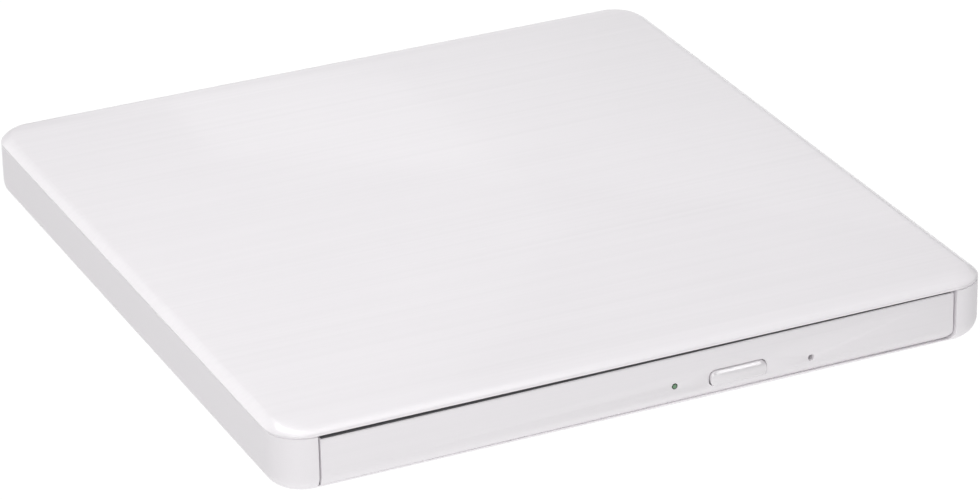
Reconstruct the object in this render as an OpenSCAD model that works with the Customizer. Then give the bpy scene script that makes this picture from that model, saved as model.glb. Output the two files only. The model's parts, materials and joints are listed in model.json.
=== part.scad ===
// Slim external disc drive: a two-part case round a tray that slides out at the front.
// Millimetres, origin at the bottom centre, front faces -Y, +Z up.

/* [Case] */
// Width of the case
case_w = 137.5; // [136:0.5:144]
// Depth of the case
case_d = 144; // [143:0.5:150]
// Height of the case, feet included
case_h = 14; // [13.8:0.1:15]
// Plan radius of the upright corners
corner_r = 7; // [5:0.25:8]
// Thickness of the side and back walls
wall_t = 1.8; // [1.4:0.1:2]
// Thickness of the case floor
floor_t = 1.5; // [1.4:0.1:1.6]
// Radius of the lower edge
base_edge_r = 3.5; // [2.5:0.25:4]
// Depth of the corner posts beside the tray front
post_d = 7.2; // [6.5:0.1:7.6]
// Height of the sill under the bezel
lip_h = 1.1; // [1:0.05:1.2]

/* [Top cover] */
// Thickness of the cover plate
cover_t = 1.65; // [1.6:0.05:1.7]
// Height of the cover's rim above the parting line
cover_rim_h = 1.5; // [1.4:0.05:1.55]
// Upright band at the foot of the rim
cover_land = 0.25; // [0.15:0.05:0.35]
// Width of the rolled edge at the sides and back
roll_side = 2; // [1:0.25:3]
// Width of the rolled edge at the front
roll_front = 5; // [2:0.25:6]
// Gap between the cover's locating plate and the walls
cover_fit = 0.15; // [0.1:0.05:0.3]
// Width of one snap hook
hook_w = 8; // [5:0.5:12]
// Distance of the end hooks from the case's ends
hook_inset = 32; // [28:0.5:40]

/* [Feet and case screws] */
// Height of the feet under the case
foot_h = 1.5; // [1.2:0.1:1.6]
// Diameter of a foot
foot_d = 8; // [6:0.5:8]
// Depth of the pocket that holds a foot
foot_pocket = 0.5; // [0.3:0.1:0.6]
// Distance of the feet from the middle, front to back
foot_y = 56; // [45:1:58]
// Shank diameter of the case screws
case_screw_d = 2; // [1.6:0.1:2.2]
// Length of a case screw
case_screw_l = 5; // [4.6:0.1:5]

/* [Sheet chassis] */
// Thickness of the sheet metal
sheet_t = 0.3; // [0.25:0.05:0.35]
// Gap between the chassis and the case walls
chassis_gap = 2.55; // [2.2:0.05:2.8]
// Shank diameter of the chassis screws
chassis_screw_d = 1.6; // [1.2:0.1:2]
// Distance of the chassis screws from the case's ends
chassis_screw_inset = 26; // [23:0.5:30]
// Distance of the lid's side flanges from the case's ends
flange_inset = 20; // [18:0.5:22]
// Height of the lid's side flanges
flange_h = 4; // [3.6:0.1:4.4]
// Radius of the stamped ring in the lid
lid_dish_r = 40; // [30:1:46]

/* [Bezel] */
// Width of the bezel
bezel_w = 122.25; // [121.75:0.25:122.5]
// Thickness of the bezel
bezel_t = 2.1; // [1.9:0.1:2.3]
// Gap at each end of the bezel
bezel_gap = 0.45; // [0.4:0.05:0.6]
// Gap between the bezel and the cover
bezel_over = 0.7; // [0.6:0.05:0.85]
// Gap between the bezel and the sill
bezel_under = 0.3; // [0.25:0.05:0.5]
// Set-back of the bezel face from the case front
bezel_recess = 0.3; // [0.25:0.05:0.4]
// Roll of the bezel on its clips, right end up, in degrees
bezel_roll = 0.12; // [0:0.02:0.12]
// Turn of the bezel on its clips, left end forward, in degrees
bezel_yaw = 0.14; // [0:0.02:0.14]
// Gap between the bezel and the tray
bezel_seat = 0.2; // [0.17:0.01:0.25]
// Radius of the bezel's lower right corner
bezel_corner_r = 1.5; // [1:0.1:1.6]
// Radius of the emergency eject hole
pinhole_r = 0.6; // [0.5:0.05:0.8]
// Sideways place of the emergency eject hole
pinhole_x = 32.4; // [31.5:0.1:33]
// Height of the emergency eject hole
pinhole_z = 5.55; // [5.45:0.05:5.7]

/* [Eject button and lamp] */
// Length of the button
button_l = 11; // [9:0.1:11.6]
// Height of the button
button_h = 2.8; // [2.6:0.1:3]
// Sideways place of the button
button_x = 17.85; // [17:0.05:18.5]
// Height of the button's middle
button_z = 6; // [5.9:0.05:6.1]
// Gap round the button
button_gap = 0.2; // [0.15:0.05:0.3]
// Press of the button
button_travel = 0.3; // [0.2:0.05:0.35]
// Radius of the status lens
lens_window_r = 0.55; // [0.5:0.05:0.7]
// Sideways place of the status lens
lamp_x = 5.5; // [4.5:0.1:6.5]
// Height of the status lens
lamp_z = 6.2; // [6.1:0.05:6.4]

/* [Tray] */
// Radius of the disc that the tray carries
disc_r = 60; // [60:0.1:60.2]
// Gap round the disc in its well
well_gap = 0.4; // [0.3:0.05:0.5]
// Rim between the well and the bezel
front_rim = 2; // [1.8:0.1:2.4]
// Rim behind the well
rear_rim = 1.6; // [1.2:0.1:2]
// Thickness of the tray plate
plate_t = 0.8; // [0.7:0.05:0.9]
// Height of the rim above the tray plate
rim_h = 2.6; // [1.6:0.1:2.8]
// Gap between the tray's sides and the opening
tray_gap = 1.4; // [1.3:0.05:1.5]
// Thickness of the tray's end walls
tray_wall = 1.2; // [1:0.1:1.4]
// Travel of the tray, and length of a slide rail
tray_travel = 126; // [120:1:126]
// Space between the chassis pan and the moving pieces
ground_gap = 0.5; // [0.45:0.05:0.6]

/* [Slide rails] */
// Width of a slide rail
rail_w = 3; // [2.8:0.1:3.2]
// Height of a slide rail
rail_h = 2.8; // [2.6:0.1:3]
// Depth of a groove in a slide rail
groove_d = 0.9; // [0.7:0.05:1]
// Height of a groove in a slide rail
groove_h = 1.2; // [1:0.05:1.4]
// Running gap of a tongue in its groove
tongue_gap = 0.2; // [0.15:0.05:0.25]
// Gap between a slide rail and its neighbours
rail_gap = 0.35; // [0.3:0.05:0.45]
// Width of the tray's side beams
beam_w = 2.65; // [2.2:0.05:2.8]

/* [Spindle] */
// Radius of the turntable
table_r = 14.5; // [13.5:0.25:15]
// Thickness of the friction ring
ring_t = 0.3; // [0.2:0.05:0.4]
// Height of the disc seat above the tray plate
seat_h = 1; // [0.9:0.05:1.1]
// Radius of the centring boss
hub_r = 7.4; // [7.35:0.01:7.45]
// Height of the centring boss above the disc seat
hub_h = 2.6; // [2.5:0.05:2.7]
// Radius of a gripping ball
ball_r = 0.6; // [0.55:0.05:0.65]
// How far a ball stands out of the boss
ball_out = 0.2; // [0.15:0.05:0.25]
// Inward play of a ball
ball_travel = 0.4; // [0.3:0.05:0.5]
// Radius of the motor shaft
shaft_r = 1; // [0.8:0.05:1.2]
// Running gap of the shaft in its sleeve
shaft_gap = 0.03; // [0.02:0.01:0.05]
// Outer radius of the rotor
rotor_r = 11.8; // [11:0.1:12]

/* [Pickup feed] */
// Direction of the feed, in degrees from +X
feed_angle = 225; // [224:0.5:226]
// Lens distance from the spindle at the start of its travel
lens_start = 24; // [23.5:0.25:25]
// Travel of the pickup
feed_travel = 32; // [28:0.5:32]
// Distance of the guide rods from the feed line
rod_v = 15; // [15:0.1:15.4]
// Radius of the main guide rod
rod_main_r = 1; // [0.9:0.05:1.1]
// Radius of the second guide rod
rod_sub_r = 0.8; // [0.7:0.05:1]
// Running gap of the sled on the rods
rod_gap = 0.05; // [0.03:0.01:0.08]
// Distance of the lead screw from the feed line
screw_v = 20.2; // [20:0.1:20.4]
// Mean radius of the lead screw
screw_r = 1; // [0.9:0.05:1.1]
// Depth of the thread, middle to crest
thread_d = 0.25; // [0.2:0.05:0.3]
// Pitch of the lead screw
screw_pitch = 3; // [3:1:3]
// Diameter of the feed motor
motor_d = 3.6; // [3.2:0.1:3.8]
// Thickness of the traverse frame
frame_t = 0.8; // [0.7:0.05:0.9]
// Gap between the cover plate and the tray
skirt_gap = 0.5; // [0.4:0.05:0.6]
// Gap between a damper and its screw
damper_fit = 0.05; // [0.03:0.01:0.1]

/* [Latch] */
// Sideways place of the latch post
latch_x = 46; // [45.5:0.1:46.3]
// Place of the latch post, front to back
latch_y = -57; // [-58:0.25:-56]
// Radius of the latch post
latch_post_r = 1.5; // [1.2:0.1:1.6]
// Length of the latch lever from pivot to hook
latch_l = 13; // [12.5:0.1:13.5]
// Swing of the latch lever, in degrees
latch_swing = 15; // [13:0.5:15]
// Distance of the coil plunger from the lever pivot
coil_arm = 6.5; // [6:0.1:7]
// Running gap of the lever on its pivot
pivot_gap = 0.05; // [0.03:0.01:0.1]

/* [Ejector] */
// Sideways place of the ejector
ejector_x = -43; // [-45:0.5:-41]
// Radius of the ejector plunger
ejector_r = 1.5; // [1.2:0.1:1.6]
// Gap between the plunger and its housing
ejector_gap = 0.3; // [0.25:0.05:0.35]
// Wire radius of the ejector spring
spring_wire_r = 0.15; // [0.12:0.01:0.2]

/* [Main board and sockets] */
// Height of the board's stand-offs
standoff_h = 0.8; // [0.7:0.1:1]
// Thickness of the circuit boards
board_t = 0.8; // [0.7:0.05:1]
// Depth of the main board
board_d = 12.6; // [12:0.1:12.8]
// Sideways place of the USB socket
usb_x = 30; // [29:0.5:32]
// Outside width of the USB socket
usb_w = 7.7; // [7.6:0.1:8]
// Outside height of the USB socket
usb_h = 3.9; // [3.8:0.1:4]
// Width of the ribbon cable
ribbon_w = 17; // [12:0.5:17.5]
// Thickness of the ribbon cable
ribbon_t = 0.15; // [0.12:0.01:0.2]

/* [Hidden] */
$fn = 48;
eps = 0.01;
// Case levels and planes
hw = case_w / 2;
hd = case_d / 2;
base_z = foot_h;
floor_z = base_z + floor_t;
pan_z = floor_z + sheet_t;
top_z = case_h;
seam_z = top_z - cover_rim_h;
ceil_z = top_z - cover_t;
lid_z = ceil_z - sheet_t;
inner_x = hw - wall_t;
inner_y = hd - wall_t;
post_y = -hd + post_d;
lip_z = base_z + lip_h;
// Chassis
pan_out = inner_x - chassis_gap;
pan_in = pan_out - sheet_t;
pan_front = post_y + 0.3;
pan_back = inner_y - 0.3;
chassis_screw_z = lid_z - 2.4;
chassis_screw_ys = [chassis_screw_inset - hd, hd - chassis_screw_inset];
hook_ys = [hook_inset - hd, 0, hd - hook_inset];
flange_y = hd - flange_inset;
// Bezel
open_x = bezel_w / 2 + bezel_gap;
bezel_z0 = lip_z + bezel_under;
bezel_z1 = seam_z - bezel_over;
bezel_mid = (bezel_z0 + bezel_z1) / 2;
face_y = -hd + bezel_recess;
bezel_back = face_y + bezel_t;
// Tray
well_r = disc_r + well_gap;
tray_front = bezel_back + bezel_seat;
disc_y = tray_front + front_rim + well_r;
tray_rear = disc_y + well_r + rear_rim;
tray_x = open_x - tray_gap;
move_z = pan_z + ground_gap;
rail_z0 = move_z + 0.3;
rail_z1 = rail_z0 + rail_h;
rail_mid = (rail_z0 + rail_z1) / 2;
plate_z0 = rail_z1 + 0.2;
plate_z1 = plate_z0 + plate_t;
rim_z = plate_z1 + rim_h;
beam_rear = tray_rear + 9;
// Rails
rail_out = tray_x + 0.2;
rail_in = rail_out - rail_w;
rail_front = tray_front + 3.4;
rail_l = tray_travel;
beam_out = rail_in - rail_gap;
beam_in = beam_out - beam_w;
guide_in = rail_out + rail_gap;
guide_front = pan_front + 0.2;
guide_back = pan_back - 1.6;
tongue_in = groove_d - rail_gap + 0.1;
tongue_t = groove_h - 2 * tongue_gap;
guide_top = plate_z0 + 0.2;
foot_x = (guide_in + pan_in) / 2 - 1.4;
case_screw_x = (guide_in + pan_in) / 2;
// Mechanism levels
frame_z0 = rail_z0;
frame_z1 = frame_z0 + frame_t;
skirt_z1 = plate_z1;
skirt_z0 = skirt_z1 - sheet_t;
sled_z0 = move_z + 0.2;
sled_z1 = skirt_z0 - 0.3;
rod_z = frame_z1 + 0.8;
screw_z = rod_z - 0.1;
seat_z = plate_z1 + seat_h;
ring_z = seat_z - ring_t;
flange_z = ring_z - 0.3;
spindle_base_t = 0.4;
spindle_z = frame_z1 + spindle_base_t;
rotor_z = spindle_z + 0.3;
sleeve_r = shaft_r + 1.4;
ball_z = seat_z + 1.75;
ball_c = hub_r + ball_out - ball_r;
stator_r = rotor_r - 1.8;
// Feed layout, u along the feed and v across it
rod_u0 = 5;
rod_u1 = lens_start + feed_travel;
window_v0 = -(screw_v + 2.4);
window_v1 = rod_v + 2.5;
window_u0 = 9;
window_u1 = rod_u1 - 2.6;
sled_half = rod_v - 2.6;
sled_u0 = lens_start - 14;
sled_u1 = lens_start + 7.4;
sled_end = sled_u1 + feed_travel;
nose_v = sled_half + 0.8;
skirt_r = table_r + 2.5;
skirt_pts = [[-6, -(screw_v + 3.2)], [rod_u1 - 4.6, -(screw_v + 3.2)], [rod_u1 + 9.2, -9], [rod_u1 + 9.2, 10], [rod_u1, rod_v + 4.2], [0, rod_v + 4.2]];
frame_pts = [[-24.5, -3.5], [-24.5, 3.5], [-10, rod_v + 6], [40, rod_v + 6], [44, rod_v + 11], [52, rod_v + 11], [rod_u1 + 4, rod_v + 4],
  [rod_u1 + 11.4, 12], [rod_u1 + 11.4, -7.6], [rod_u1 - 1.5, -20.6], [rod_u1 - 8, -27], [rod_u1 - 11, -30.4], [0, -30.4], [-8, -24]];
dampers = [[-20.8, 0], [4, -(screw_v + 6.8)], [rod_u1 - 13, -(screw_v + 6.8)], [48, rod_v + 8]];
damper_r = 2.4;
damper_screw_r = 0.8;
skirt_posts = [[-8, 11], [-8, -11], [rod_u1 + 2, rod_v - 0.3], [rod_u1 + 0.2, -(rod_v + 0.9)]];
screw_u0 = 8.2;
screw_u1 = rod_u1 - 7.6;
journal_r = 0.6;
// The tooth sits where the thread is lowest beside it
nut_u = screw_u0 + screw_pitch * (floor((sled_u0 + 4.7 - screw_u0) / screw_pitch) + 0.5);
// Tray board and what hangs from it
board_z1 = plate_z0 - 0.2;
board_z0 = board_z1 - board_t;
tray_board_front = tray_front + 2.6;
tray_board_rear = tray_rear - 7;
switch_y = tray_front + 4.4;
switch_z = board_z0 - 0.9;
stem_end = switch_y - 0.85;
button_back = button_travel + 0.2;
// Latch
latch_pivot_x = latch_x - 5.4;
latch_pivot_y = latch_y + latch_l + latch_post_r + 0.5;
// The tray board passes behind the latch
tray_board_pts = [[0, tray_board_front], [20.5, tray_board_front], [20.5, latch_pivot_y + 2], [42, latch_pivot_y + 6], [42, tray_board_rear], [22, tray_board_rear],
  [22, disc_y - 13], [10, disc_y - 29], [0, disc_y - 41]];
latch_z0 = move_z + 0.5;
latch_t = 1.4;
latch_pivot_r = 1.2;
lane_x0 = latch_x - latch_post_r - 1;
lane_x1 = latch_x + latch_post_r + 1;
post_top = latch_z0 + latch_t + 0.3;
lane_top = post_top + 0.4;
coil_y = latch_pivot_y - coil_arm;
coil_z = latch_z0 + latch_t / 2;
latch_half = 1.4;
pin_dx = pinhole_x - latch_pivot_x;
coil_tip = latch_pivot_x - coil_arm * tan(latch_swing) - latch_half / cos(latch_swing) - 0.3;
// Ejector
ejector_z = (rail_z0 + plate_z0) / 2;
ejector_y0 = tray_rear + 0.3;
housing_y0 = tray_rear + 3.2;
housing_y1 = pan_back - 0.6;
plunger_l = 6.4;
// Main board
main_z0 = pan_z + standoff_h;
main_z1 = main_z0 + board_t;
main_y1 = pan_back - 0.1;
main_y0 = main_y1 - board_d;
main_x0 = ejector_x + 7;
main_x1 = beam_in - 2.4;
main_screws = [[main_x0 + 3, main_y0 + 2.6], [usb_x - 16, main_y1 - 2.6], [main_x1 - 3, main_y0 + 2.6]];
board_screw_r = 0.8;
usb_y1 = hd - 0.4;
usb_l = 9;
usb_skin = 0.35;
// Ribbon cable
ribbon_x = 32.3;
ribbon_bend = disc_y - 13;
ribbon_end = tray_board_rear - 2;
ribbon_r = (board_z0 - pan_z) / 2;
socket_y = main_y0 + 2;

// Shared shapes

// One ring of a rounded rectangle, with its own inset at the sides, the front and the back
function ring(side, front, back, z, n = 10) = [
  for (k = [0:3]) for (i = [0:n])
    let (a = 90 * (k + i / n), sx = k == 0 || k == 3 ? 1 : -1, fy = k >= 2, rx = corner_r - side, ry = corner_r - (fy ? front : back))
    [sx * (hw - corner_r) + rx * cos(a), (fy ? -1 : 1) * (hd - corner_r) + ry * sin(a), z]];

// A closed skin over a stack of such rings
module loft(rings) {
  m = len(rings[0]);
  n = len(rings);
  polyhedron(
    points = [for (r = rings) for (p = r) p],
    faces = concat(
      [[for (i = [0:m - 1]) i]],
      [for (j = [0:n - 2]) for (i = [0:m - 1]) let (k = (i + 1) % m) each [[j * m + i, (j + 1) * m + k, j * m + k], [j * m + i, (j + 1) * m + i, (j + 1) * m + k]]],
      [[for (i = [m - 1:-1:0]) (n - 1) * m + i]]));
}

// A box given by its low and high corners
module box(a, b) translate(a) cube([b[0] - a[0], b[1] - a[1], b[2] - a[2]]);

// An upright disc, and one that lies along X or Y
module post(x, y, z0, z1, r) translate([x, y, z0]) cylinder(r = r, h = z1 - z0);
module rod_x(x0, x1, y, z, r) translate([x0, y, z]) rotate([0, 90, 0]) cylinder(r = r, h = x1 - x0);
module rod_y(x, y0, y1, z, r) translate([x, y0, z]) rotate([-90, 0, 0]) cylinder(r = r, h = y1 - y0);

// A bar with round ends, length along X, drawn flat
module pill(l, h) {
  square([l - h, h], center = true);
  for (s = [-1, 1]) translate([s * (l - h) / 2, 0]) circle(d = h);
}

// The pickup's frame: u along the feed from the spindle, v across it
module on_feed() translate([0, disc_y, 0]) rotate([0, 0, feed_angle]) children();

// The bezel's frame, rolled and turned on its clips
module on_bezel() translate([0, face_y, bezel_mid]) rotate([0, -bezel_roll, bezel_yaw]) translate([0, -face_y, -bezel_mid]) children();

// Copies a piece to both sides
module both_sides() {
  children();
  mirror([1, 0, 0]) children();
}

// A round wire wound into a spring along Z
module coil(r, wire, turns, l, per_turn = 12, sides = 6) {
  n = turns * per_turn;
  polyhedron(
    points = [for (i = [0:n]) let (t = 360 * turns * i / n) for (j = [0:sides - 1]) let (a = 360 * j / sides, q = r + wire * cos(a))
        [q * cos(t), q * sin(t), l * i / n + wire * sin(a)]],
    faces = concat(
      [[for (j = [0:sides - 1]) j]],
      [for (i = [0:n - 1]) for (j = [0:sides - 1]) let (k = (j + 1) % sides, p = i * sides, q = p + sides) each [[p + j, q + j, q + k], [p + j, q + k, p + k]]],
      [[for (j = [sides - 1:-1:0]) n * sides + j]]));
}

// A round bar whose middle winds about Z, one turn to the pitch
module thread(l, per_turn = 8, sides = 10) {
  n = round(l * per_turn / screw_pitch);
  polyhedron(
    points = [for (i = [0:n]) let (t = 90 - 360 * l * i / n / screw_pitch) for (j = [0:sides - 1]) let (a = 360 * j / sides)
        [thread_d * cos(t) + screw_r * cos(a), thread_d * sin(t) + screw_r * sin(a), l * i / n]],
    faces = concat(
      [[for (j = [0:sides - 1]) j]],
      [for (i = [0:n - 1]) for (j = [0:sides - 1]) let (k = (j + 1) % sides, p = i * sides, q = p + sides) each [[p + j, q + j, q + k], [p + j, q + k, p + k]]],
      [[for (j = [sides - 1:-1:0]) n * sides + j]]));
}

// Case

// Section of a wall and the strip of floor beside it, measured out from the corner centre
module wall_section() difference() {
  union() {
    translate([0, base_z]) square([corner_r, floor_t]);
    translate([corner_r - wall_t, base_z]) square([wall_t, seam_z - base_z]);
  }
  difference() {
    translate([corner_r - base_edge_r, base_z - 1]) square([base_edge_r + 1, base_edge_r + 1]);
    translate([corner_r - base_edge_r, base_z + base_edge_r]) circle(r = base_edge_r);
  }
}

module bottom_case() color([0.88, 0.88, 0.89]) difference() {
  union() {
    for (s = [[1, 1, 0], [-1, 1, 90], [-1, -1, 180], [1, -1, 270]])
      translate([s[0] * (hw - corner_r), s[1] * (hd - corner_r), 0]) rotate([0, 0, s[2]]) rotate_extrude(angle = 90) wall_section();
    for (s = [0, 1]) mirror([s, 0, 0]) translate([hw - corner_r, hd - corner_r, 0]) rotate([90, 0, 0]) linear_extrude(height = case_d - 2 * corner_r) wall_section();
    for (s = [0, 1]) mirror([0, s, 0]) translate([-(hw - corner_r), hd - corner_r, 0]) rotate([90, 0, 90]) linear_extrude(height = case_w - 2 * corner_r) wall_section();
    translate([-(hw - corner_r), -(hd - corner_r), base_z]) cube([case_w - 2 * corner_r, case_d - 2 * corner_r, floor_t]);
    // Corner posts
    both_sides() box([open_x, -(hd - corner_r), floor_z - eps], [inner_x + eps, post_y, seam_z]);
    both_sides() intersection() {
      post(hw - corner_r, -(hd - corner_r), floor_z - eps, seam_z, corner_r - wall_t / 2);
      box([open_x, -hd + wall_t / 2, floor_z - eps], [hw, -(hd - corner_r) + eps, seam_z]);
    }
  }
  // Front opening, round at its lower right
  difference() {
    box([-open_x, -hd - 1, lip_z], [open_x, post_y + 1, seam_z + 1]);
    difference() {
      box([open_x - bezel_corner_r, -hd - 2, lip_z - 1], [open_x + 1, post_y, lip_z + bezel_corner_r]);
      rod_y(open_x - bezel_corner_r, -hd - 3, post_y + 1, lip_z + bezel_corner_r, bezel_corner_r);
    }
  }
  // Window for the socket
  box([usb_x - usb_w / 2 - 0.15, inner_y - 1, main_z1 - 0.15], [usb_x + usb_w / 2 + 0.15, hd + 1, main_z1 + usb_h + 0.15]);
  // Catches for the cover's hooks
  for (y = hook_ys) both_sides() box([inner_x - eps, y - hook_w / 2 - 0.3, seam_z - 2.3], [inner_x + 0.7, y + hook_w / 2 + 0.3, seam_z - 1.3]);
  // Foot pockets and screw holes
  for (y = [-foot_y, foot_y]) both_sides() {
    post(foot_x, y, base_z - 1, base_z + foot_pocket, foot_d / 2);
    post(case_screw_x, y, base_z, floor_z + 1, case_screw_d / 2 + 0.1);
    translate([case_screw_x, y, base_z + foot_pocket - eps]) cylinder(r1 = case_screw_d * 0.9, r2 = case_screw_d / 2, h = 0.8);
  }
}

module top_cover() color([0.92, 0.92, 0.93]) {
  drop = cover_rim_h - cover_land;
  loft(concat(
    [ring(0, 0, 0, seam_z)],
    [for (i = [0:6]) let (a = 15 * i, c = 1 - cos(a)) ring(roll_side * c, roll_front * c, roll_side * c, seam_z + cover_land + drop * sin(a))]));
  // Locating plate inside the walls
  gap = wall_t + cover_fit;
  box([-hw + gap, post_y + 1, ceil_z], [hw - gap, hd - corner_r, seam_z + 0.3]);
  box([-hw + corner_r, hd - corner_r - 1, ceil_z], [hw - corner_r, hd - gap, seam_z + 0.3]);
  // Snap hooks
  for (y = hook_ys) both_sides() {
    box([hw - gap - 1, y - hook_w / 2, seam_z - 2.4], [hw - gap, y + hook_w / 2, ceil_z + eps]);
    box([hw - gap - eps, y - hook_w / 2, seam_z - 2.2], [hw - gap + 0.5, y + hook_w / 2, seam_z - 1.5]);
  }
}

module rubber_feet() color([0.35, 0.35, 0.37]) for (y = [-foot_y, foot_y]) both_sides() translate([foot_x, y, 0]) {
  cylinder(r1 = foot_d / 2 - 0.6, r2 = foot_d / 2 - 0.2, h = 0.5);
  translate([0, 0, 0.5]) cylinder(r = foot_d / 2 - 0.2, h = foot_h + foot_pocket - 0.5);
}

module case_screws() color([0.6, 0.6, 0.62]) for (y = [-foot_y, foot_y]) both_sides() translate([case_screw_x, y, base_z + foot_pocket]) difference() {
  union() {
    cylinder(r1 = case_screw_d * 0.9 - 0.1, r2 = case_screw_d / 2 - 0.1, h = 0.8);
    cylinder(r = case_screw_d / 2, h = case_screw_l);
  }
  for (a = [0, 90]) rotate([0, 0, a]) box([-1.1, -0.2, -1], [1.1, 0.2, 0.4]);
}

// Sheet chassis

module chassis_pan() color([0.72, 0.73, 0.75]) difference() {
  union() {
    box([-pan_out, pan_front, floor_z], [pan_out, pan_back, pan_z]);
    both_sides() box([pan_in, pan_front, floor_z], [pan_out, pan_back - 8, lid_z]);
    for (p = main_screws) post(p[0], p[1], pan_z - eps, main_z0, 2);
    // Tongue of the floor that reaches to the sill between the posts
    box([-open_x + 0.6, -hd + 3, floor_z], [open_x - 0.6, pan_front + eps, pan_z - 0.1]);
  }
  for (p = main_screws) post(p[0], p[1], floor_z - 1, main_z0 + 1, board_screw_r);
  for (y = [-foot_y, foot_y]) both_sides() post(case_screw_x, y, floor_z - 1, pan_z + 1, case_screw_d / 2 + 0.1);
  for (y = chassis_screw_ys) both_sides() rod_x(pan_in - 1, pan_out + 1, y, chassis_screw_z, chassis_screw_d / 2);
  // Rear corners make room for the case corners
  both_sides() box([hw - corner_r + 0.6, pan_back - 4, floor_z - 1], [hw, pan_back + 1, lid_z + 1]);
}

module chassis_lid() color([0.78, 0.79, 0.8]) difference() {
  union() {
    box([-pan_out - sheet_t, pan_front, lid_z], [pan_out + sheet_t, pan_back - 6, ceil_z]);
    both_sides() box([pan_out, -flange_y, lid_z - flange_h], [pan_out + sheet_t, flange_y, lid_z + eps]);
  }
  for (y = chassis_screw_ys) both_sides() rod_x(pan_out - 1, pan_out + sheet_t + 1, y, chassis_screw_z, chassis_screw_d / 2 + 0.1);
  // Shallow stamped ring
  translate([0, disc_y, lid_z - eps]) difference() {
    cylinder(r = lid_dish_r, h = sheet_t / 2);
    translate([0, 0, -1]) cylinder(r = lid_dish_r - 8, h = 3);
  }
}

module chassis_screws() color([0.55, 0.56, 0.58]) for (y = chassis_screw_ys) both_sides() difference() {
  union() {
    rod_x(pan_in - 1.2, pan_out + sheet_t, y, chassis_screw_z, chassis_screw_d / 2);
    rod_x(pan_out + sheet_t, pan_out + sheet_t + 0.7, y, chassis_screw_z, chassis_screw_d * 0.9);
  }
  for (a = [0, 90]) translate([pan_out + sheet_t + 0.4, y, chassis_screw_z]) rotate([a, 0, 0]) box([0, -0.9, -0.15], [1, 0.9, 0.15]);
}

// Rails

module guide_rail() difference() {
  union() {
    box([guide_in, guide_front, pan_z], [pan_in, guide_back, guide_top]);
    box([guide_in - tongue_in - rail_gap, guide_front + 2, rail_mid - tongue_t / 2], [guide_in + eps, guide_back - 2, rail_mid + tongue_t / 2]);
  }
  for (y = [-foot_y, foot_y]) post(case_screw_x, y, pan_z - 1, base_z + foot_pocket + 5.3, case_screw_d / 2);
}

module guide_rail_left() color([0.3, 0.31, 0.33]) mirror([1, 0, 0]) guide_rail();
module guide_rail_right() color([0.3, 0.31, 0.33]) guide_rail();

module slide_rail() difference() {
  box([rail_in, rail_front, rail_z0], [rail_out, rail_front + rail_l, rail_z1]);
  box([rail_out - groove_d, rail_front - 1, rail_mid - groove_h / 2], [rail_out + 1, rail_front + rail_l + 1, rail_mid + groove_h / 2]);
  box([rail_in - 1, rail_front - 1, rail_mid - groove_h / 2], [rail_in + groove_d, rail_front + rail_l + 1, rail_mid + groove_h / 2]);
}

module slide_rail_left() color([0.75, 0.76, 0.78]) mirror([1, 0, 0]) slide_rail();
module slide_rail_right() color([0.75, 0.76, 0.78]) slide_rail();

// Main board at the back

module main_board() color([0.1, 0.36, 0.2]) difference() {
  box([main_x0, main_y0, main_z0], [main_x1, main_y1, main_z1]);
  for (p = main_screws) post(p[0], p[1], main_z0 - 1, main_z1 + 1, board_screw_r + 0.1);
}

module board_screws() color([0.6, 0.6, 0.62]) for (p = main_screws) translate([p[0], p[1], 0]) difference() {
  union() {
    post(0, 0, floor_z + 0.2, main_z1, board_screw_r);
    post(0, 0, main_z1, main_z1 + 0.7, 1.5);
  }
  for (a = [0, 90]) rotate([0, 0, a]) box([-0.9, -0.15, main_z1 + 0.35], [0.9, 0.15, main_z1 + 2]);
}

module board_chips() color([0.12, 0.12, 0.13]) {
  box([main_x0 + 10, main_y0 + 2.2, main_z1], [main_x0 + 19, main_y0 + 11.2, main_z1 + 1]);
  box([main_x0 + 27, main_y0 + 5, main_z1], [main_x0 + 33, main_y0 + 9, main_z1 + 0.9]);
  box([usb_x + 9, main_y0 + 6, main_z1], [usb_x + 14, main_y0 + 11, main_z1 + 0.8]);
}

module board_capacitors() color([0.62, 0.5, 0.34]) {
  for (x = [main_x0 + 21.5, main_x0 + 23.7]) box([x, main_y0 + 9, main_z1], [x + 1, main_y0 + 11, main_z1 + 0.9]);
  for (x = [main_x0 + 36.5, main_x0 + 38.5, main_x0 + 40.5]) box([x, main_y0 + 9.4, main_z1], [x + 0.8, main_y0 + 11, main_z1 + 0.8]);
  box([main_x0 + 4.5, main_y0 + 7, main_z1], [main_x0 + 8, main_y0 + 9.2, main_z1 + 1.6]);
  box([usb_x + 15.6, main_y0 + 7.6, main_z1], [usb_x + 19, main_y0 + 11, main_z1 + 1.5]);
}

module ribbon_socket() color([0.93, 0.92, 0.86]) difference() {
  box([ribbon_x - ribbon_w / 2 - 2, socket_y - 1.6, main_z1], [ribbon_x + ribbon_w / 2 + 2, socket_y + 2, main_z1 + 1.2]);
  box([ribbon_x - ribbon_w / 2 - 0.2, socket_y - 2, main_z1 + 0.3], [ribbon_x + ribbon_w / 2 + 0.2, socket_y + 0.6, main_z1 + 0.9]);
}

module usb_shell() color([0.78, 0.79, 0.8]) difference() {
  box([usb_x - usb_w / 2, usb_y1 - usb_l, main_z1], [usb_x + usb_w / 2, usb_y1, main_z1 + usb_h]);
  box([usb_x - usb_w / 2 + usb_skin, usb_y1 - usb_l + usb_skin, main_z1 + usb_skin], [usb_x + usb_w / 2 - usb_skin, usb_y1 + 1, main_z1 + usb_h - usb_skin]);
  // Waisted lower corners
  both_ends = [-1, 1];
  for (s = both_ends) translate([usb_x + s * usb_w / 2, usb_y1 + 1, main_z1]) rotate([90, 45, 0]) cube([0.9, 0.9, 8], center = true);
}

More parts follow.
